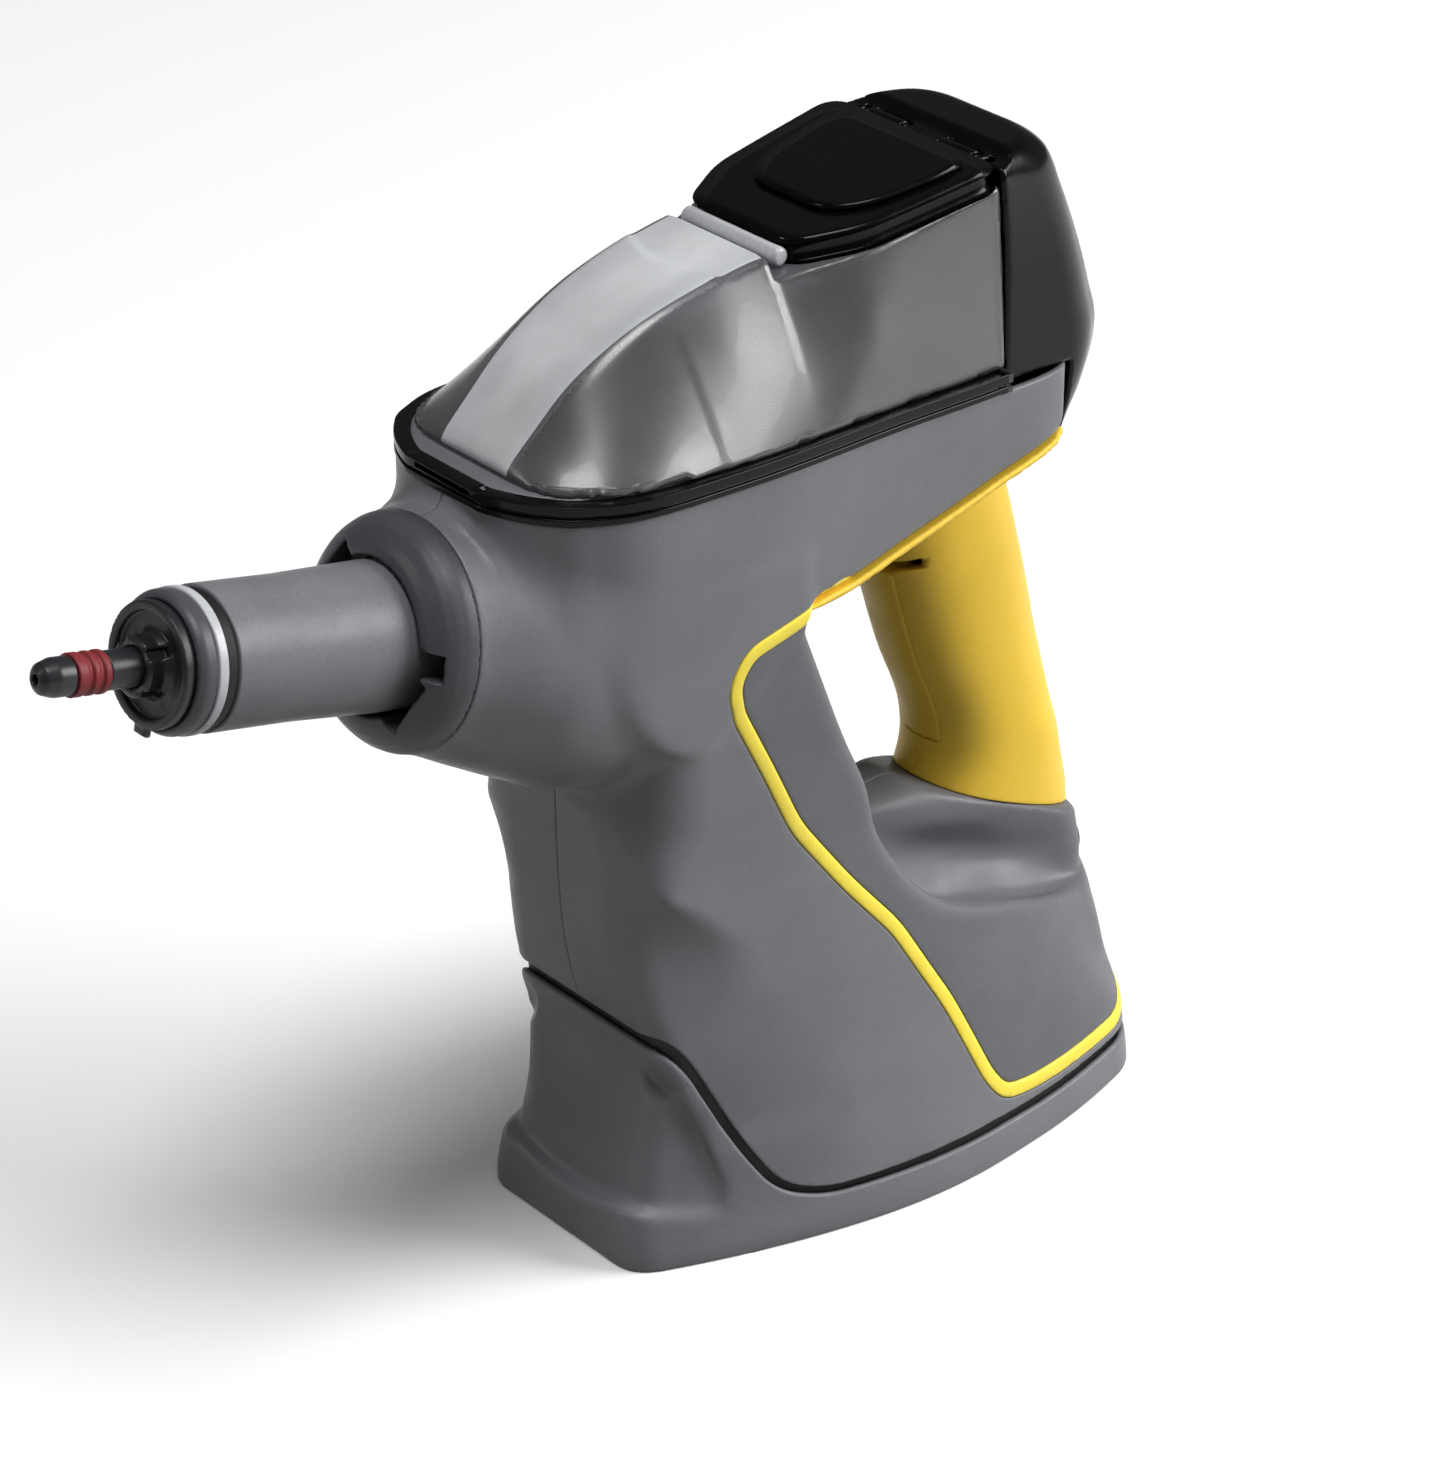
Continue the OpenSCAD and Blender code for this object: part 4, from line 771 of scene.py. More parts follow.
# %% Parting line, trim loop and cuts
FAR = 400
parting_path = bent([(FAR, 62.5), (73, 63.5), (67.5, 57.5), (52.5, 26.5), (45.5, 16), (34, 11.6), (0, 10.4),
                     (-40, 9.7), (-FAR, 9.5), (-FAR, FAR), (FAR, FAR)], 9)
trim_path = bent([(41.7, 171), (54.1, 168.5), (58.3, 161), (56.2, 153.3), (45.9, 134), (35.6, 113.3),
                  (19.4, 91.4), (5, 73.9), (-8.9, 49), (-20, 23), (-25, 16.5), (-35, 15), (-47, 14.6),
                  (-73, 14.5), (-84, 18), (-90, 25), (-110, 34), (-110, 96), (-16, 96), (20, 176)], 5)
TRIM_HALF = 1.95


def above_parting(p):
    return loop_distance(parting_path, p[:, 0], p[:, 2])


def in_trim(p):
    return loop_distance(trim_path, p[:, 0], p[:, 2])


def over_rim(p):
    return p[:, 2] - rim_z(p[:, 0])


def past_nose(p):
    return (p[:, 0] - NOSE[0]) * math.cos(PITCH) + (p[:, 2] - NOSE[2]) * math.sin(PITCH) + 4.7


def part_half(p):
    """Half the width of the parting gap, a little wider in front."""
    return 1.15 + 0.95 * np.clip((p[:, 0] - 66) / 7, 0, 1)


def across_middle(p):
    return 0.04 - p[:, 1]


print("parting path", len(parting_path), "points, trim path", len(trim_path))

# %% [markdown]
# ## Housing halves, side panels, trim and base
# Each half is cut from the skin, with the trim's groove left out and closed behind by a sunk
# strip, as the real moulding is. The panel lies inside the loop and the trim stands a little
# proud in the groove. The base takes what lies under the parting line.

# %% Housing pieces
WALL, GAP, TONGUE_HALF = 1.65, 0.12, 3.2


def over_parting(p):
    """Negative above the parting gap."""
    return above_parting(p) + part_half(p)


shared = [over_rim, past_nose, across_middle, over_parting]
outer_part = shell(*skin, housing_form, shared + [lambda p: TRIM_HALF - in_trim(p)], WALL, edge=0.45)
groove_cuts = [over_rim, across_middle, over_parting, lambda p: in_trim(p) - TRIM_HALF - 2]
groove_part = shell(*skin, housing_form, groove_cuts, 1.2, sunk=1.35, edge=0)
# The tongue behind the parting gap is near black. This is painted shade, standing for the shadow down inside
# the gap.
tongue_cuts = [lambda p: above_parting(p) - TONGUE_HALF, lambda p: -TONGUE_HALF - above_parting(p),
               across_middle]
tongue_part = shell(*skin, housing_form, tongue_cuts, 0.8, sunk=1.75, edge=0)
panel_part = shell(*skin, housing_form, shared + [lambda p: in_trim(p) + TRIM_HALF + GAP], 1.2, edge=0.35)
trim_cuts = shared[1:] + [over_rim, lambda p: in_trim(p) - TRIM_HALF + GAP, lambda p: -TRIM_HALF - in_trim(p)]
trim_part = shell(*skin, housing_form, trim_cuts, 1.2, edge=0.4, crown=0.3)
left_housing = joined(outer_part, groove_part)
for side, turn in SIDES:
    piece("housing_shell_" + side, turn(left_housing), "housing", replaces=["housing_" + side])
    piece("parting_tongue_" + side, turn(tongue_part), "inner_black")
    piece("panel_" + side, turn(panel_part), "panel", replaces=["side_panel_" + side])
    piece("trim_line_" + side, turn(trim_part), "yellow_trim", replaces=["trim_" + side])
print("housing half", len(left_housing[0]), "trim", len(trim_part[0]))

# %% Base skirt
PART_CLEAR = 4.6
DENT_AT, DENT_RADIUS = (71.5, 26, 53), 5.4
recess_line = flow((0, 77.8), (14, 77.6), (25, 76), (40, 74.4), (58, 73.5), (70, 74.5))
lip_line = flow((0, 13.2), (10, 14), (21, 16), (28, 15.4), (36, 12.4))
recess_edge = flow((12, 35.4), (20, 34.3), (34, 31.5), (48, 29.6), (59, 27.3))


def skirt_form(x, y, z):
    """The base, hollowed in front above a lip, with a dent below each end of the parting line."""
    f, corner_y, corner_x, s = bow_corners(z)
    w = abs(y)
    face = greater(x - np.minimum(f, recess_line(z)), beyond(x, w, f, corner_y, corner_x, s) + 3, 6)
    hollow = greater(greater(-face, (w - recess_edge(z)) * 0.8, 2.5), (lip_line(w) - z) * 0.9, 2.5)
    under = PART_CLEAR - loop_distance(parting_path, x + 0 * z, z + 0 * x)
    hollow = greater(hollow, under, 3)
    ahead, aside, up = DENT_AT
    dent = np.sqrt((x - ahead) ** 2 + (w - aside) ** 2 + (0.8 * (z - up)) ** 2) - DENT_RADIUS
    dent = greater(dent, under + 0.6, 2)
    return greater(greater(housing_form(x, y, z), -hollow, 2), -dent, 2)


skirt_skin = surface(skirt_form, (-94, -57.6, -4), (88, 57.6, 70), 1.1)
skirt_cuts = [lambda p: part_half(p) - above_parting(p), lambda p: 0.02 - p[:, 2]]
skirt = shell(*skirt_skin, skirt_form, skirt_cuts, WALL, edge=0.7)
piece("base_shell", skirt, "housing", replaces=["base_skirt"])
print("base", len(skirt[0]))

# %% [markdown]
# ## Turned parts of the nozzle
# The tube, its seal, the band and the spigot are round about one axis, so each is a closed
# profile of radius and station turned about that axis. Softly bent corners catch a thin
# highlight, which a bare revolved polygon would lack.

# %% Nozzle
AXIS = np.array([math.cos(PITCH), 0, math.sin(PITCH)])
DOWN = np.array([math.sin(PITCH), 0, -math.cos(PITCH)])
LEFT = np.array([0.0, 1.0, 0.0])


def wrapped(steps, n):
    """Faces of a grid of steps by n points that closes both ways."""
    i, j = np.meshgrid(np.arange(steps), np.arange(n), indexing="ij")
    k, m = (i + 1) % steps, (j + 1) % n
    return np.stack([i * n + j, k * n + j, k * n + m, i * n + m], -1).reshape(-1, 4)


def turned(profile, bend=0.5, steps=112):
    """A closed profile of (radius, station) turned about the nozzle's axis."""
    loop = bent(profile, bend)
    ahead = np.roll(loop, -1, 0)
    if (loop[:, 0] * ahead[:, 1] - ahead[:, 0] * loop[:, 1]).sum() < 0:
        loop = loop[::-1]
    angle = np.linspace(0, 2 * math.pi, steps, endpoint=False)[:, None, None]
    r, s = loop[None, :, :1], loop[None, :, 1:]
    p = NOSE + s * AXIS + r * (np.cos(angle) * DOWN + np.sin(angle) * LEFT)
    return p.reshape(-1, 3), wrapped(steps, len(loop))


def as_triangles(part):
    p, f = part
    return p, (f if f.shape[1] == 3 else np.concatenate([f[:, [0, 1, 2]], f[:, [0, 2, 3]]]))


piece("nozzle_tube_smooth", turned([(14, -26), (17.3, -26), (17.3, 6), (16.5, 30), (16.5, 53), (14, 53)]),
      "nozzle_grey", replaces=["nozzle_tube"])
piece("seal_ring", turned([(14, 53.15), (15.9, 53.15), (15.9, 56), (14, 56)], 0.5), "rubber",
      replaces=["nozzle_seal_ring"])
piece("front_band", turned([(14, 56.05), (16.5, 56.05), (16.5, 58.6), (14, 58.6)], 0.5), "light_band",
      replaces=["nozzle_band"])
piece("front_ring", turned([(14, 58.7), (16.2, 58.7), (16.2, 61.6), (15.3, 63.2), (14, 63.2)], 0.7), "nose")
spigot_profile = [(1.2, 46), (4.4, 46), (4.4, 78), (3.2, 78), (3.2, 86.8), (4.4, 86.8), (4.4, 91),
                  (3.5, 94), (1.9, 95.1), (1.2, 95.1)]
piece("spigot", turned(spigot_profile, 0.5, 72), "nozzle_black", replaces=["steam_spigot"])
SEAL_FROM, RIB_STEP = 78.1, 2.87
ribs = [(3.25, SEAL_FROM), (4.6, SEAL_FROM)]
for k in range(3):
    s = SEAL_FROM + RIB_STEP * k
    ribs += [(4.9, s + 0.5), (4.9, s + 1.7), (4.3, s + 2.1), (4.3, s + 2.6)]
piece("spigot_seal_ribbed", turned(ribs[:-2] + [(4.9, 86.7), (3.25, 86.7)], 0.35, 72), "seal_red",
      replaces=["spigot_seal"])
print("nozzle pieces turned")

# %% [markdown]
# ## End cap and nose ring
# These have slots and ribs that break the round, so they are drawn as distances in the
# nozzle's own frame: a turned profile from which blocks are taken or to which they are added.

# %% Nose ring
def block(x, y, z, low, high):
    across, along, up = (np.maximum(a - v, v - b) for v, a, b in zip((x, y, z), low, high))
    return np.maximum(np.maximum(across, along), up)


def turned_about(x, y, degrees):
    c, s = math.cos(math.radians(degrees)), math.sin(math.radians(degrees))
    return x * c + y * s, y * c - x * s


def on_nose(part):
    p, f = part
    return NOSE + p[:, :1] * DOWN + p[:, 1:2] * LEFT + p[:, 2:] * AXIS, f


RING_RADIUS, RING_FOOT, ROUND_ACROSS, ROUND_ALONG = 28, -4.6, 9.7, 10.1
round_edge = [(RING_RADIUS - ROUND_ACROSS + ROUND_ACROSS * math.cos(math.radians(t)),
               RING_FOOT + ROUND_ALONG * math.sin(math.radians(t))) for t in range(15, 91, 15)]
ring_path = bent([(17.4, -8), (24.7, -8), (24.7, RING_FOOT), (RING_RADIUS, RING_FOOT)] + round_edge
                 + [(18.3, -5), (17.4, -5)], 0.4)


def nose_ring_form(x, y, z):
    d = loop_distance(ring_path, *np.broadcast_arrays(np.sqrt(x * x + y * y), z))
    for turn in (92, 272):
        a, b = turned_about(x, y, turn)
        d = greater(d, -block(a, b, z, (13.3, -3.2, -2.5), (24.3, 3.2, 20)), 0.5)
        a, b = turned_about(x, y, turn - 32)
        d = greater(d, -block(a, b, z, (14.3, -9, -1.8), (20.7, 7, 20)), 0.5)
    return d


piece("nose_ring_smooth", on_nose(surface(nose_ring_form, (-29, -29, -9), (29, 29, 7), 0.7)), "nose",
      replaces=["nose_ring"])
print("nose ring", 2 * RING_RADIUS, "mm across")

# %% End cap
cap_path = bent([(4.5, 46), (13.9, 46), (13.9, 63.5), (14.2, 63.5), (14.2, 66.1), (12, 66.1), (12, 64.5),
                 (8, 64.5), (6.8, 66.2), (6.8, 70.1), (4.5, 70.1)], 0.35)


def cap_form(x, y, z):
    d = loop_distance(cap_path, *np.broadcast_arrays(np.sqrt(x * x + y * y), z))
    d = lesser(d, block(x, y, z, (12.2, -2, 63.5), (16.4, 2, 65.5)), 0.4)
    for turn in range(45, 360, 90):
        a, b = turned_about(x, y, turn)
        d = greater(d, -block(a, b, z, (5.8, -1.2, 64.5), (9.8, 1.2, 73)), 0.4)
    return d


piece("end_cap", on_nose(surface(cap_form, (-17, -17, 45.5), (17, 17, 71), 0.6)), "nozzle_black",
      replaces=["nozzle_cap"])
print("end cap profile", len(cap_path), "points")

# %% [markdown]
# ## Tank
# The tank is a clear wall of 2 mm round the water. Its top is a long face that falls to the
# front, its sides lean in, and ahead of the lid bar lies a shallow recess for the thumb. Wall
# and hollow are two layers of one shell, because light bends at both and a single sheet looks
# like solid glass.

# %% Tank form
top_line = flow((20, 256), (30.5, 255.6), (36, 255.2), (50, 252.8), (65, 249), (77, 244), (87, 238),
                (97, 229.5), (105, 222.6))
top_half = flow((-33, 28), (-26, 27.5), (-8, 26), (8, 24.5), (30, 17), (50, 16), (65, 15), (77, 14),
                (87, 13.2), (105, 12.5))
LID_AT, LID_TILT = np.array([26, 0, 255.6]), math.radians(7.1)
LID_STEP, LID_DEEP, TANK_FOOT, TANK_WALL = 30.5, 5.1, 5.1, 2.0
THUMB_AT, THUMB_RADIUS, THUMB_DEPTH = 28, 19.5, 0.9
FILLER_AT, FILLER_RADIUS = -0.8, 12


def lid_z(x):
    return LID_AT[2] + (LID_AT[0] - x) * math.tan(LID_TILT)


def tank_sides(x, y, z, top):
    w = deck_line(x) - 1.5
    t = np.minimum(top_half(x), w - 1)
    low = rim_z(x) + TANK_FOOT
    m = 0.45 * t + 0.55 * w + np.minimum(3, (w - t) * 0.3)
    h = 0.45 * top + 0.55 * low
    d = greater(beyond(y, z, w, low, m, h), beyond(y, z, m, h, t, top), 7)
    return greater(d, low - z, 0.8)


def tank_form(x, y, z):
    y = abs(y)
    top = top_line(x)
    arc = (np.sqrt((x - THUMB_AT) ** 2 + (0.75 * y) ** 2) - THUMB_RADIUS) / 0.8
    scoop = THUMB_DEPTH / (1 + np.exp(np.clip(3 * arc, -40, 40)))
    ahead = greater(tank_sides(x, y, z, top), past(top_line, x, z) + scoop, 2)
    ahead = greater(greater(ahead, x - 104.8, 4), LID_STEP - x, 0.8)
    under = lid_z(x) - LID_DEEP
    behind = greater(tank_sides(x, y, z, np.where(x > LID_STEP, top, lid_z(x) + 0.4)), z - under, 1)
    behind = greater(greater(behind, x - 60, 1), -32.6 - x, 1)
    return lesser(ahead, behind, 0.5)


print("tank top at the step", float(top_line(LID_STEP)))

# %% Tank shell
tank_skin = surface(tank_form, (-34, -38.4, 209), (107, 38.4, 258), 1.2)


def filler_hole(p):
    flat = FILLER_RADIUS - np.hypot(p[:, 0] - FILLER_AT, p[:, 1])
    return np.where(p[:, 2] > 240, flat, -5.0)


def beside_fold(p):
    """Negative on the top face: between the folds and ahead of the lid."""
    fold = abs(p[:, 1]) - np.minimum(top_half(p[:, 0]) - 0.9, deck_line(p[:, 0]) - 3.5)
    return np.maximum(fold, 30.3 - p[:, 0]) + 20 * (p[:, 2] < top_line(p[:, 0]) - 4)


folded = split(*tank_skin, np.clip(beside_fold(tank_skin[0]), -9, 9))
tank_part = shell(*folded, tank_form, [filler_hole], TANK_WALL, edge=0.3)
tank = piece("tank_clear", tank_part, "clear_tank", replaces=["tank"])
# The top faces take the frosted finish: a light grey with painted reflection streaks in it.
tank.data.materials.append(finishes["frosted_top"])
frosted = beside_fold(tank_part[0][tank_part[1]].mean(1)) < 0
tank.data.polygons.foreach_set("material_index", frosted.astype(np.int32))
print("tank", len(tank_part[0]), "points,", int(frosted.sum()), "faces of frosted top")

# %% [markdown]
# ## Black rim under the tank
# A moulded band runs round the deck. It is one profile with a fine groove, swept along the
# plan of the deck, and a plate inside it that the tank stands on.

# %% Rim
ROUND_FROM, ROUND_LONG = 84, 28.6


def plan_of_deck(grow, rear):
    """The deck's outline, grown outwards, with points closer together round its nose."""
    nose = ROUND_FROM + ROUND_LONG * np.sin(np.linspace(0.03, 1, 44) * math.pi / 2)
    x = np.concatenate([np.linspace(rear, ROUND_FROM, 60), nose])
    y = deck_line(x) + grow
    half = np.stack([x, y], 1)
    front = np.stack([np.full(9, x[-1] + 0.3), np.linspace(y[-1] - 0.8, -y[-1] + 0.8, 9)], 1)
    return np.concatenate([half, front, half[::-1] * (1, -1)])[::-1]


def outwards(outline):
    """Unit vectors that point out of a closed outline that runs counter-clockwise."""
    along = np.roll(outline, -1, 0) - np.roll(outline, 1, 0)
    return np.stack([along[:, 1], -along[:, 0]], 1) / np.hypot(*along.T)[:, None]


def swept(outline, profile, height, bend=0.3):
    """A closed profile of (outwards, up) swept round a closed plan outline."""
    out, loop = outwards(outline), bent(profile, bend)
    p = np.concatenate([outline[:, None] + out[:, None] * loop[None, :, :1],
                        height(outline[:, 0])[:, None, None] + loop[None, :, 1:]], 2)
    return p.reshape(-1, 3), wrapped(len(outline), len(loop))


rim_profile = [(-4, 0.15), (0, 0.15), (0, 1.6), (-0.7, 1.9), (-0.7, 2.3), (0, 2.6), (0, 4.9), (-4, 4.9)]
band = swept(plan_of_deck(0.55, -32.4), rim_profile, rim_z)
piece("rim_band", as_triangles(band), "gloss_black", replaces=["tank_rim"])
print("rim", len(band[0]))

# %% Plate inside the rim
def stacked(rings, middles):
    """A closed skin through a stack of equal rings, with a fan to a middle point at either end."""
    n, m = len(rings[0]), len(rings)
    i = np.arange(n)
    j = (i + 1) % n
    walls = [np.stack([k * n + i, k * n + j, (k + 1) * n + j, (k + 1) * n + i], 1) for k in range(m - 1)]
    walls = as_triangles((None, np.concatenate(walls)))[1]
    first = np.stack([j, i, np.full(n, m * n)], 1)
    last = np.stack([(m - 1) * n + i, (m - 1) * n + j, np.full(n, m * n + 1)], 1)
    return np.concatenate([*rings, middles]), np.concatenate([walls, first, last])


def slab(outline, low, high, bevel=0.4):
    """A flat slab with the given plan, between two heights that are functions of x."""
    centre = outline.mean(0)
    rings = []
    for inset, height, lift in ((bevel, low, 0), (0, low, bevel), (0, high, -bevel), (bevel, high, 0)):
        ring = centre + (outline - centre) * (1 - inset / np.abs(outline - centre).max())
        rings.append(np.column_stack([ring, height(ring[:, 0]) + lift]))
    return stacked(rings, [rings[0].mean(0), rings[-1].mean(0)])


plate = slab(plan_of_deck(-2.8, -30), lambda x: rim_z(x) + 2.6, lambda x: rim_z(x) + 4.8)
piece("rim_plate", plate, "nozzle_grey")
print("plate", len(plate[0]))

# %% [markdown]
# ## Rear cap and lid
# Both are polished black. The cap is a tapering block whose rear face swells at mid height,
# open at the hinge. The lid is a plate with soft edges, a raised pad and two hinge knuckles,
# built in its own frame and tilted into place, so that it turns about the pin.

# %% Rear cap
cap_rear = flow((180, -65.5), (184, -66.5), (190, -69), (196, -72), (210, -75.5), (221, -72.5),
                (235, -67.7), (249, -62), (259, -57.5), (264, -53))
cap_front_half = flow((184, 30), (209, 31), (259, 28.3), (264, 26))
cap_side_half = flow((184, 27), (205, 29), (257, 25.3), (264, 22))
cap_rear_half = flow((184, 17), (205, 20), (259, 19), (264, 16))
CAP_FOOT, CAP_TOP, CAP_FACE = 184, 264, -33.2
HINGE, POCKET_HALF = (-60.2, -2.4), 22
swing_path = np.array([(-40, 264), (-37.8, 262.2), (-35.5, 261.6), (-10, 261.6), (-10, 272), (-40, 272)])


def into_frame(x, z, place, angle):
    """Where x and z lie in a frame that stands at a place and leans by an angle."""
    a, b = x - place[0], z - place[2]
    return a * math.cos(angle) - b * math.sin(angle), a * math.sin(angle) + b * math.cos(angle)


def out_of_frame(part, place, angle):
    p, f = part
    c, s = math.cos(angle), math.sin(angle)
    return place + np.stack([p[:, 0] * c + p[:, 2] * s, p[:, 1], p[:, 2] * c - p[:, 0] * s], 1), f


def rear_cap_form(x, y, z):
    """A tapering block, with a pocket and three lugs for the hinge and room for the lid to swing."""
    w = abs(y)
    rear = cap_rear(z)
    mid = -10 + 0.7 * rear
    d = greater(x - CAP_FACE, beyond(x, w, CAP_FACE + 0 * z, cap_front_half(z), mid, cap_side_half(z)), 1.2)
    side = beyond(x, w, mid, cap_side_half(z), rear, cap_rear_half(z))
    d = greater(greater(greater(d, side, 3), rear - x, 5), greater(z - CAP_TOP, CAP_FOOT - z, 1), 3)
    d = greater(d, -greater(-57.25 - x, z - rim_z(x) - 0.1, 0.3), 0.5)
    u, v = into_frame(x, z, LID_AT, LID_TILT)
    from_pin = np.hypot(u - HINGE[0], v - HINGE[1])
    pocket = np.minimum(from_pin - 3.1, block(u, w, v, (HINGE[0], -1, HINGE[1]), (-40, POCKET_HALF, 18)))
    d = greater(d, -greater(pocket, w - POCKET_HALF, 0.3), 0.5)
    d = greater(d, -loop_distance(swing_path, x + 0 * z, z + 0 * x), 0.3)
    lugs = np.minimum(abs(w - 19.2) - 1.0, w - 6)
    knuckle = np.minimum(from_pin - 1.6, block(u, w, v, (-64.2, -1, -4), (-61.6, 30, -1.4)))
    return lesser(d, np.maximum(knuckle, lugs), 0.3)


cap_part = surface(rear_cap_form, (-77, -32.4, 182.6), (-32, 32.4, 266), 0.9)
piece("rear_cap_smooth", cap_part, "gloss_black", replaces=["rear_cap"])
print("rear cap", len(cap_part[0]))

# %% Plates and bars of the lid
def both_sides(half):
    half = np.array(half, float)
    return np.concatenate([half, half[::-1] * (1, -1)])


def dense(path, step=1.0):
    """The same closed path with points at even steps."""
    ends = np.roll(path, -1, 0)
    length = np.hypot(*(ends - path).T)
    at = np.concatenate([[0], np.cumsum(length)])
    q = np.arange(0, at[-1], at[-1] / round(at[-1] / step))
    closed = np.concatenate([path, path[:1]])
    return np.stack([np.interp(q, at, closed[:, i]) for i in (0, 1)], 1)


def plateau(outline, profile):
    """A slab whose edge follows (outset, height) pairs, with rings of points over both flat faces."""
    out = outwards(outline)
    rings = [np.column_stack([outline + out * outset, np.full(len(outline), float(z))])
             for outset, z in profile]
    bottom, top = rings[0], rings[-1]
    low, high = bottom.mean(0), top.mean(0)
    for share in (0.85, 0.65, 0.42, 0.2):
        rings = [low + (bottom - low) * share] + rings + [high + (top - high) * share]
    return stacked(rings, [low, high])


def rolled(y0, y1, radius, at, steps=48, soft=0.5):
    """A bar along Y with rounded ends, in the lid's frame."""
    end = [(0, radius - soft)] + [(soft * (1 - math.cos(t)), radius - soft + soft * math.sin(t))
                                  for t in (0.5, 1.1, 1.57)]
    stations = [(y0 + along, r) for along, r in end] + [(y1 - along, r) for along, r in end[::-1]]
    a = np.linspace(0, 2 * math.pi, steps, endpoint=False)
    rings = [np.stack([at[0] + r * np.sin(a), 0 * a + y, at[1] + r * np.cos(a)], 1) for y, r in stations]
    return stacked(rings, [(at[0], y0, at[1]), (at[0], y1, at[1])])


def tilted(part):
    """From the lid's own frame into place."""
    return out_of_frame(part, LID_AT, LID_TILT)


print("lid leans", round(math.degrees(LID_TILT), 1), "degrees")

# %% Lid
BAR, KNUCKLE_LONG = 2.3, 11.4
lid_path = dense(bent(both_sides([[-2.6, 16.5], [-18, 24.3], [-34, 25.8], [-57, 27.6]]), 5))
pad_path = dense(bent(both_sides([[-17.5, 12.2], [-26, 18.5], [-46, 21.5], [-54, 21]]), 7))
lid_edge = [(2, -5), (1, -5), (0, -4.4), (0, -1.2), (0.25, -0.55), (0.8, -0.12), (1.6, 0)]
lid_parts = [plateau(lid_path, lid_edge)]
for y in (-17.8, 6.4):
    arm = np.array([[-61, y], [-56, y], [-56, y + KNUCKLE_LONG], [-61, y + KNUCKLE_LONG]], float)
    lid_parts += [rolled(y, y + KNUCKLE_LONG, BAR, HINGE),
                  plateau(dense(arm), [(0, -4.0), (0, -0.9), (-0.2, -0.8)])]
piece("lid_smooth", tilted(joined(*lid_parts)), "gloss_black", "lid", ["lid"])
piece("lid_pad_smooth", tilted(plateau(pad_path, [(0, 0.05), (0, 0.4), (0.2, 0.7), (0.7, 0.9)])),
      "gloss_black", "lid", ["lid_pad"])
piece("lid_bar_smooth", tilted(rolled(-16.5, 16.5, BAR, (0.1, -2.5), soft=1.0)), "light_band", "lid",
      ["lid_bar"])
print("lid outline", len(lid_path), "points, pad outline", len(pad_path))

# %% [markdown]
# ## Grip and trigger
# The grip is an oval section that leans forward and swells under the palm. Its front is slotted
# for the trigger. It is made in the same way as the housing, from one distance, and cut into
# halves, with a thin flange of the same yellow that runs under the deck.

# %% Grip
grip_mid = flow((56, -56.8), (60, -57), (70, -57.5), (81, -58), (89, -58.6), (102, -56.3), (123, -49.2),
                (139, -44.6), (170, -35.6), (190, -30), (200, -27))
grip_deep = flow((56, 30), (60, 29.5), (70, 28), (81, 24.6), (89, 22), (95, 20.6), (103, 19.8),
                 (123, 21.2), (139, 22), (170, 22.4), (190, 22.5), (200, 22.5))
GRIP_HALF, OVAL = 16.5, 2.35
LEAN, PIVOT = math.radians(16), np.array([-43, 0, 91])
SLOT_HALF, SLOT_FOOT, SLOT_TOP = 7.2, 6.4, 68.5
NOTCH_HALF, NOTCH_FOOT = 13.5, 65.2


def grip_form(x, y, z):
    a = (x - grip_mid(z)) / grip_deep(z)
    b = y / GRIP_HALF
    radius = (abs(a) ** OVAL + abs(b) ** OVAL + 1e-9) ** (1 / OVAL)
    return (radius - 1) * GRIP_HALF * 0.97


def slot_cut(p):
    """The trigger's slot, which widens into a notch above its top."""
    u, w = into_frame(p[:, 0], p[:, 2], PIVOT, LEAN)
    side = abs(p[:, 1])
    slot = np.maximum.reduce([greater(side - SLOT_HALF, SLOT_FOOT - w, 2.5), w - SLOT_TOP, -6 - u])
    notch = np.maximum.reduce([side - NOTCH_HALF, NOTCH_FOOT - w, w - SLOT_TOP, -8 - u])
    return -np.minimum(slot, notch)


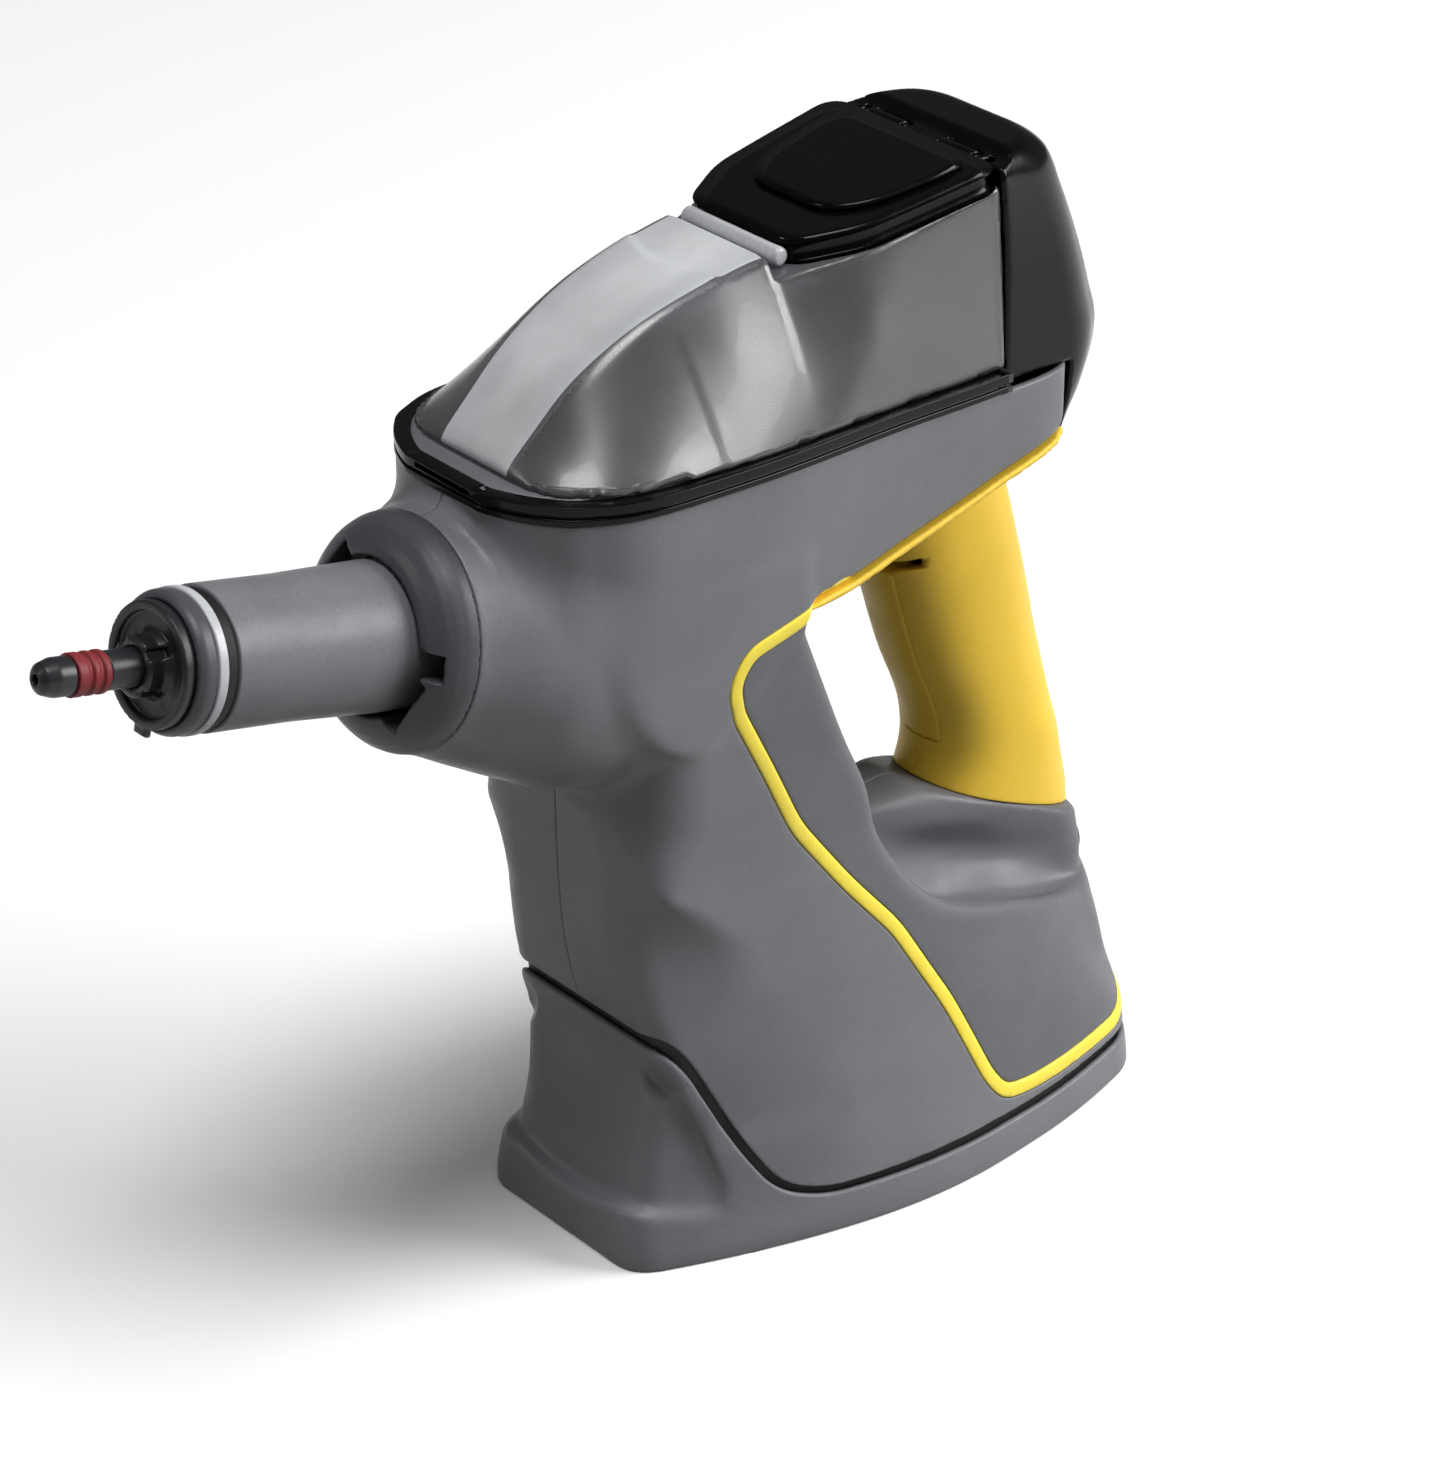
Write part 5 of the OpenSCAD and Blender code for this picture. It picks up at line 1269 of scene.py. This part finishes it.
def under_deck(p):
    return p[:, 2] - under_line(p[:, 0]) + 0.1


def over_collar(p):
    return (collar_z(p[:, 0]) + 0.15 - p[:, 2]) * COLLAR_COS


grip_skin = surface(grip_form, (-92, -2.4, 50), (4, 18.2, 192), 1.2)
grip_part = shell(*grip_skin, grip_form, [slot_cut, over_collar, under_deck, across_middle], 2.4, edge=0.3)


def flange_form(x, y, z):
    d = greater(past(deck_line, x, y) + 0.6, past(under_line, x, z) + 0.15, 0.4)
    thick = 1.75 * np.clip((37 - x) / 7, 0.3, 1)
    return greater(greater(greater(d, -past(under_line, x, z) - thick, 0.4), x - 36, 0.5), -56.5 - x, 0.5)


flange_skin = surface(flange_form, (-58, -2.4, 165), (38, 39, 190), 0.8)
flange_part = shell(*flange_skin, flange_form, [across_middle], 0.3, edge=0)
for side, turn in SIDES:
    piece("grip_" + side + "_smooth", turn(joined(grip_part, flange_part)), "yellow_grip",
          replaces=["grip_" + side])
print("grip half", len(grip_part[0]))

# %% Trigger
trigger_path = bent([(9, 6.8), (9, 64.6), (-1, 64.6), (-3.5, 60), (-3.5, 12), (0, 6.8)], 1)
lug_path = bent([(-3.2, -4), (0, -4), (1.8, -2), (1.8, 14), (-3.5, 14), (-3.5, 0)], 1)


def trigger_form(x, y, z):
    """The front of the trigger carries on the grip's own curve, so that the two read as one."""
    u, w = np.broadcast_arrays(x, z)
    ahead = PIVOT[0] + u * math.cos(LEAN) + w * math.sin(LEAN)
    up = PIVOT[2] + w * math.cos(LEAN) - u * math.sin(LEAN)
    bar = greater(loop_distance(trigger_path, u, w), abs(y) - 7, 0.4)
    bar = greater(bar, grip_form(ahead, y, up) - 0.1, 0.4)
    lug = greater(loop_distance(lug_path, u, w), abs(y) - 4, 1)
    return greater(np.minimum(bar, lug), 1.6 - np.hypot(x, z), 0.3)


trigger_part = out_of_frame(surface(trigger_form, (-5, -8, -7), (9, 8, 66), 0.8), PIVOT, LEAN)
piece("trigger_smooth", trigger_part, "yellow_grip", "trigger", ["trigger"])
print("trigger", len(trigger_part[0]))
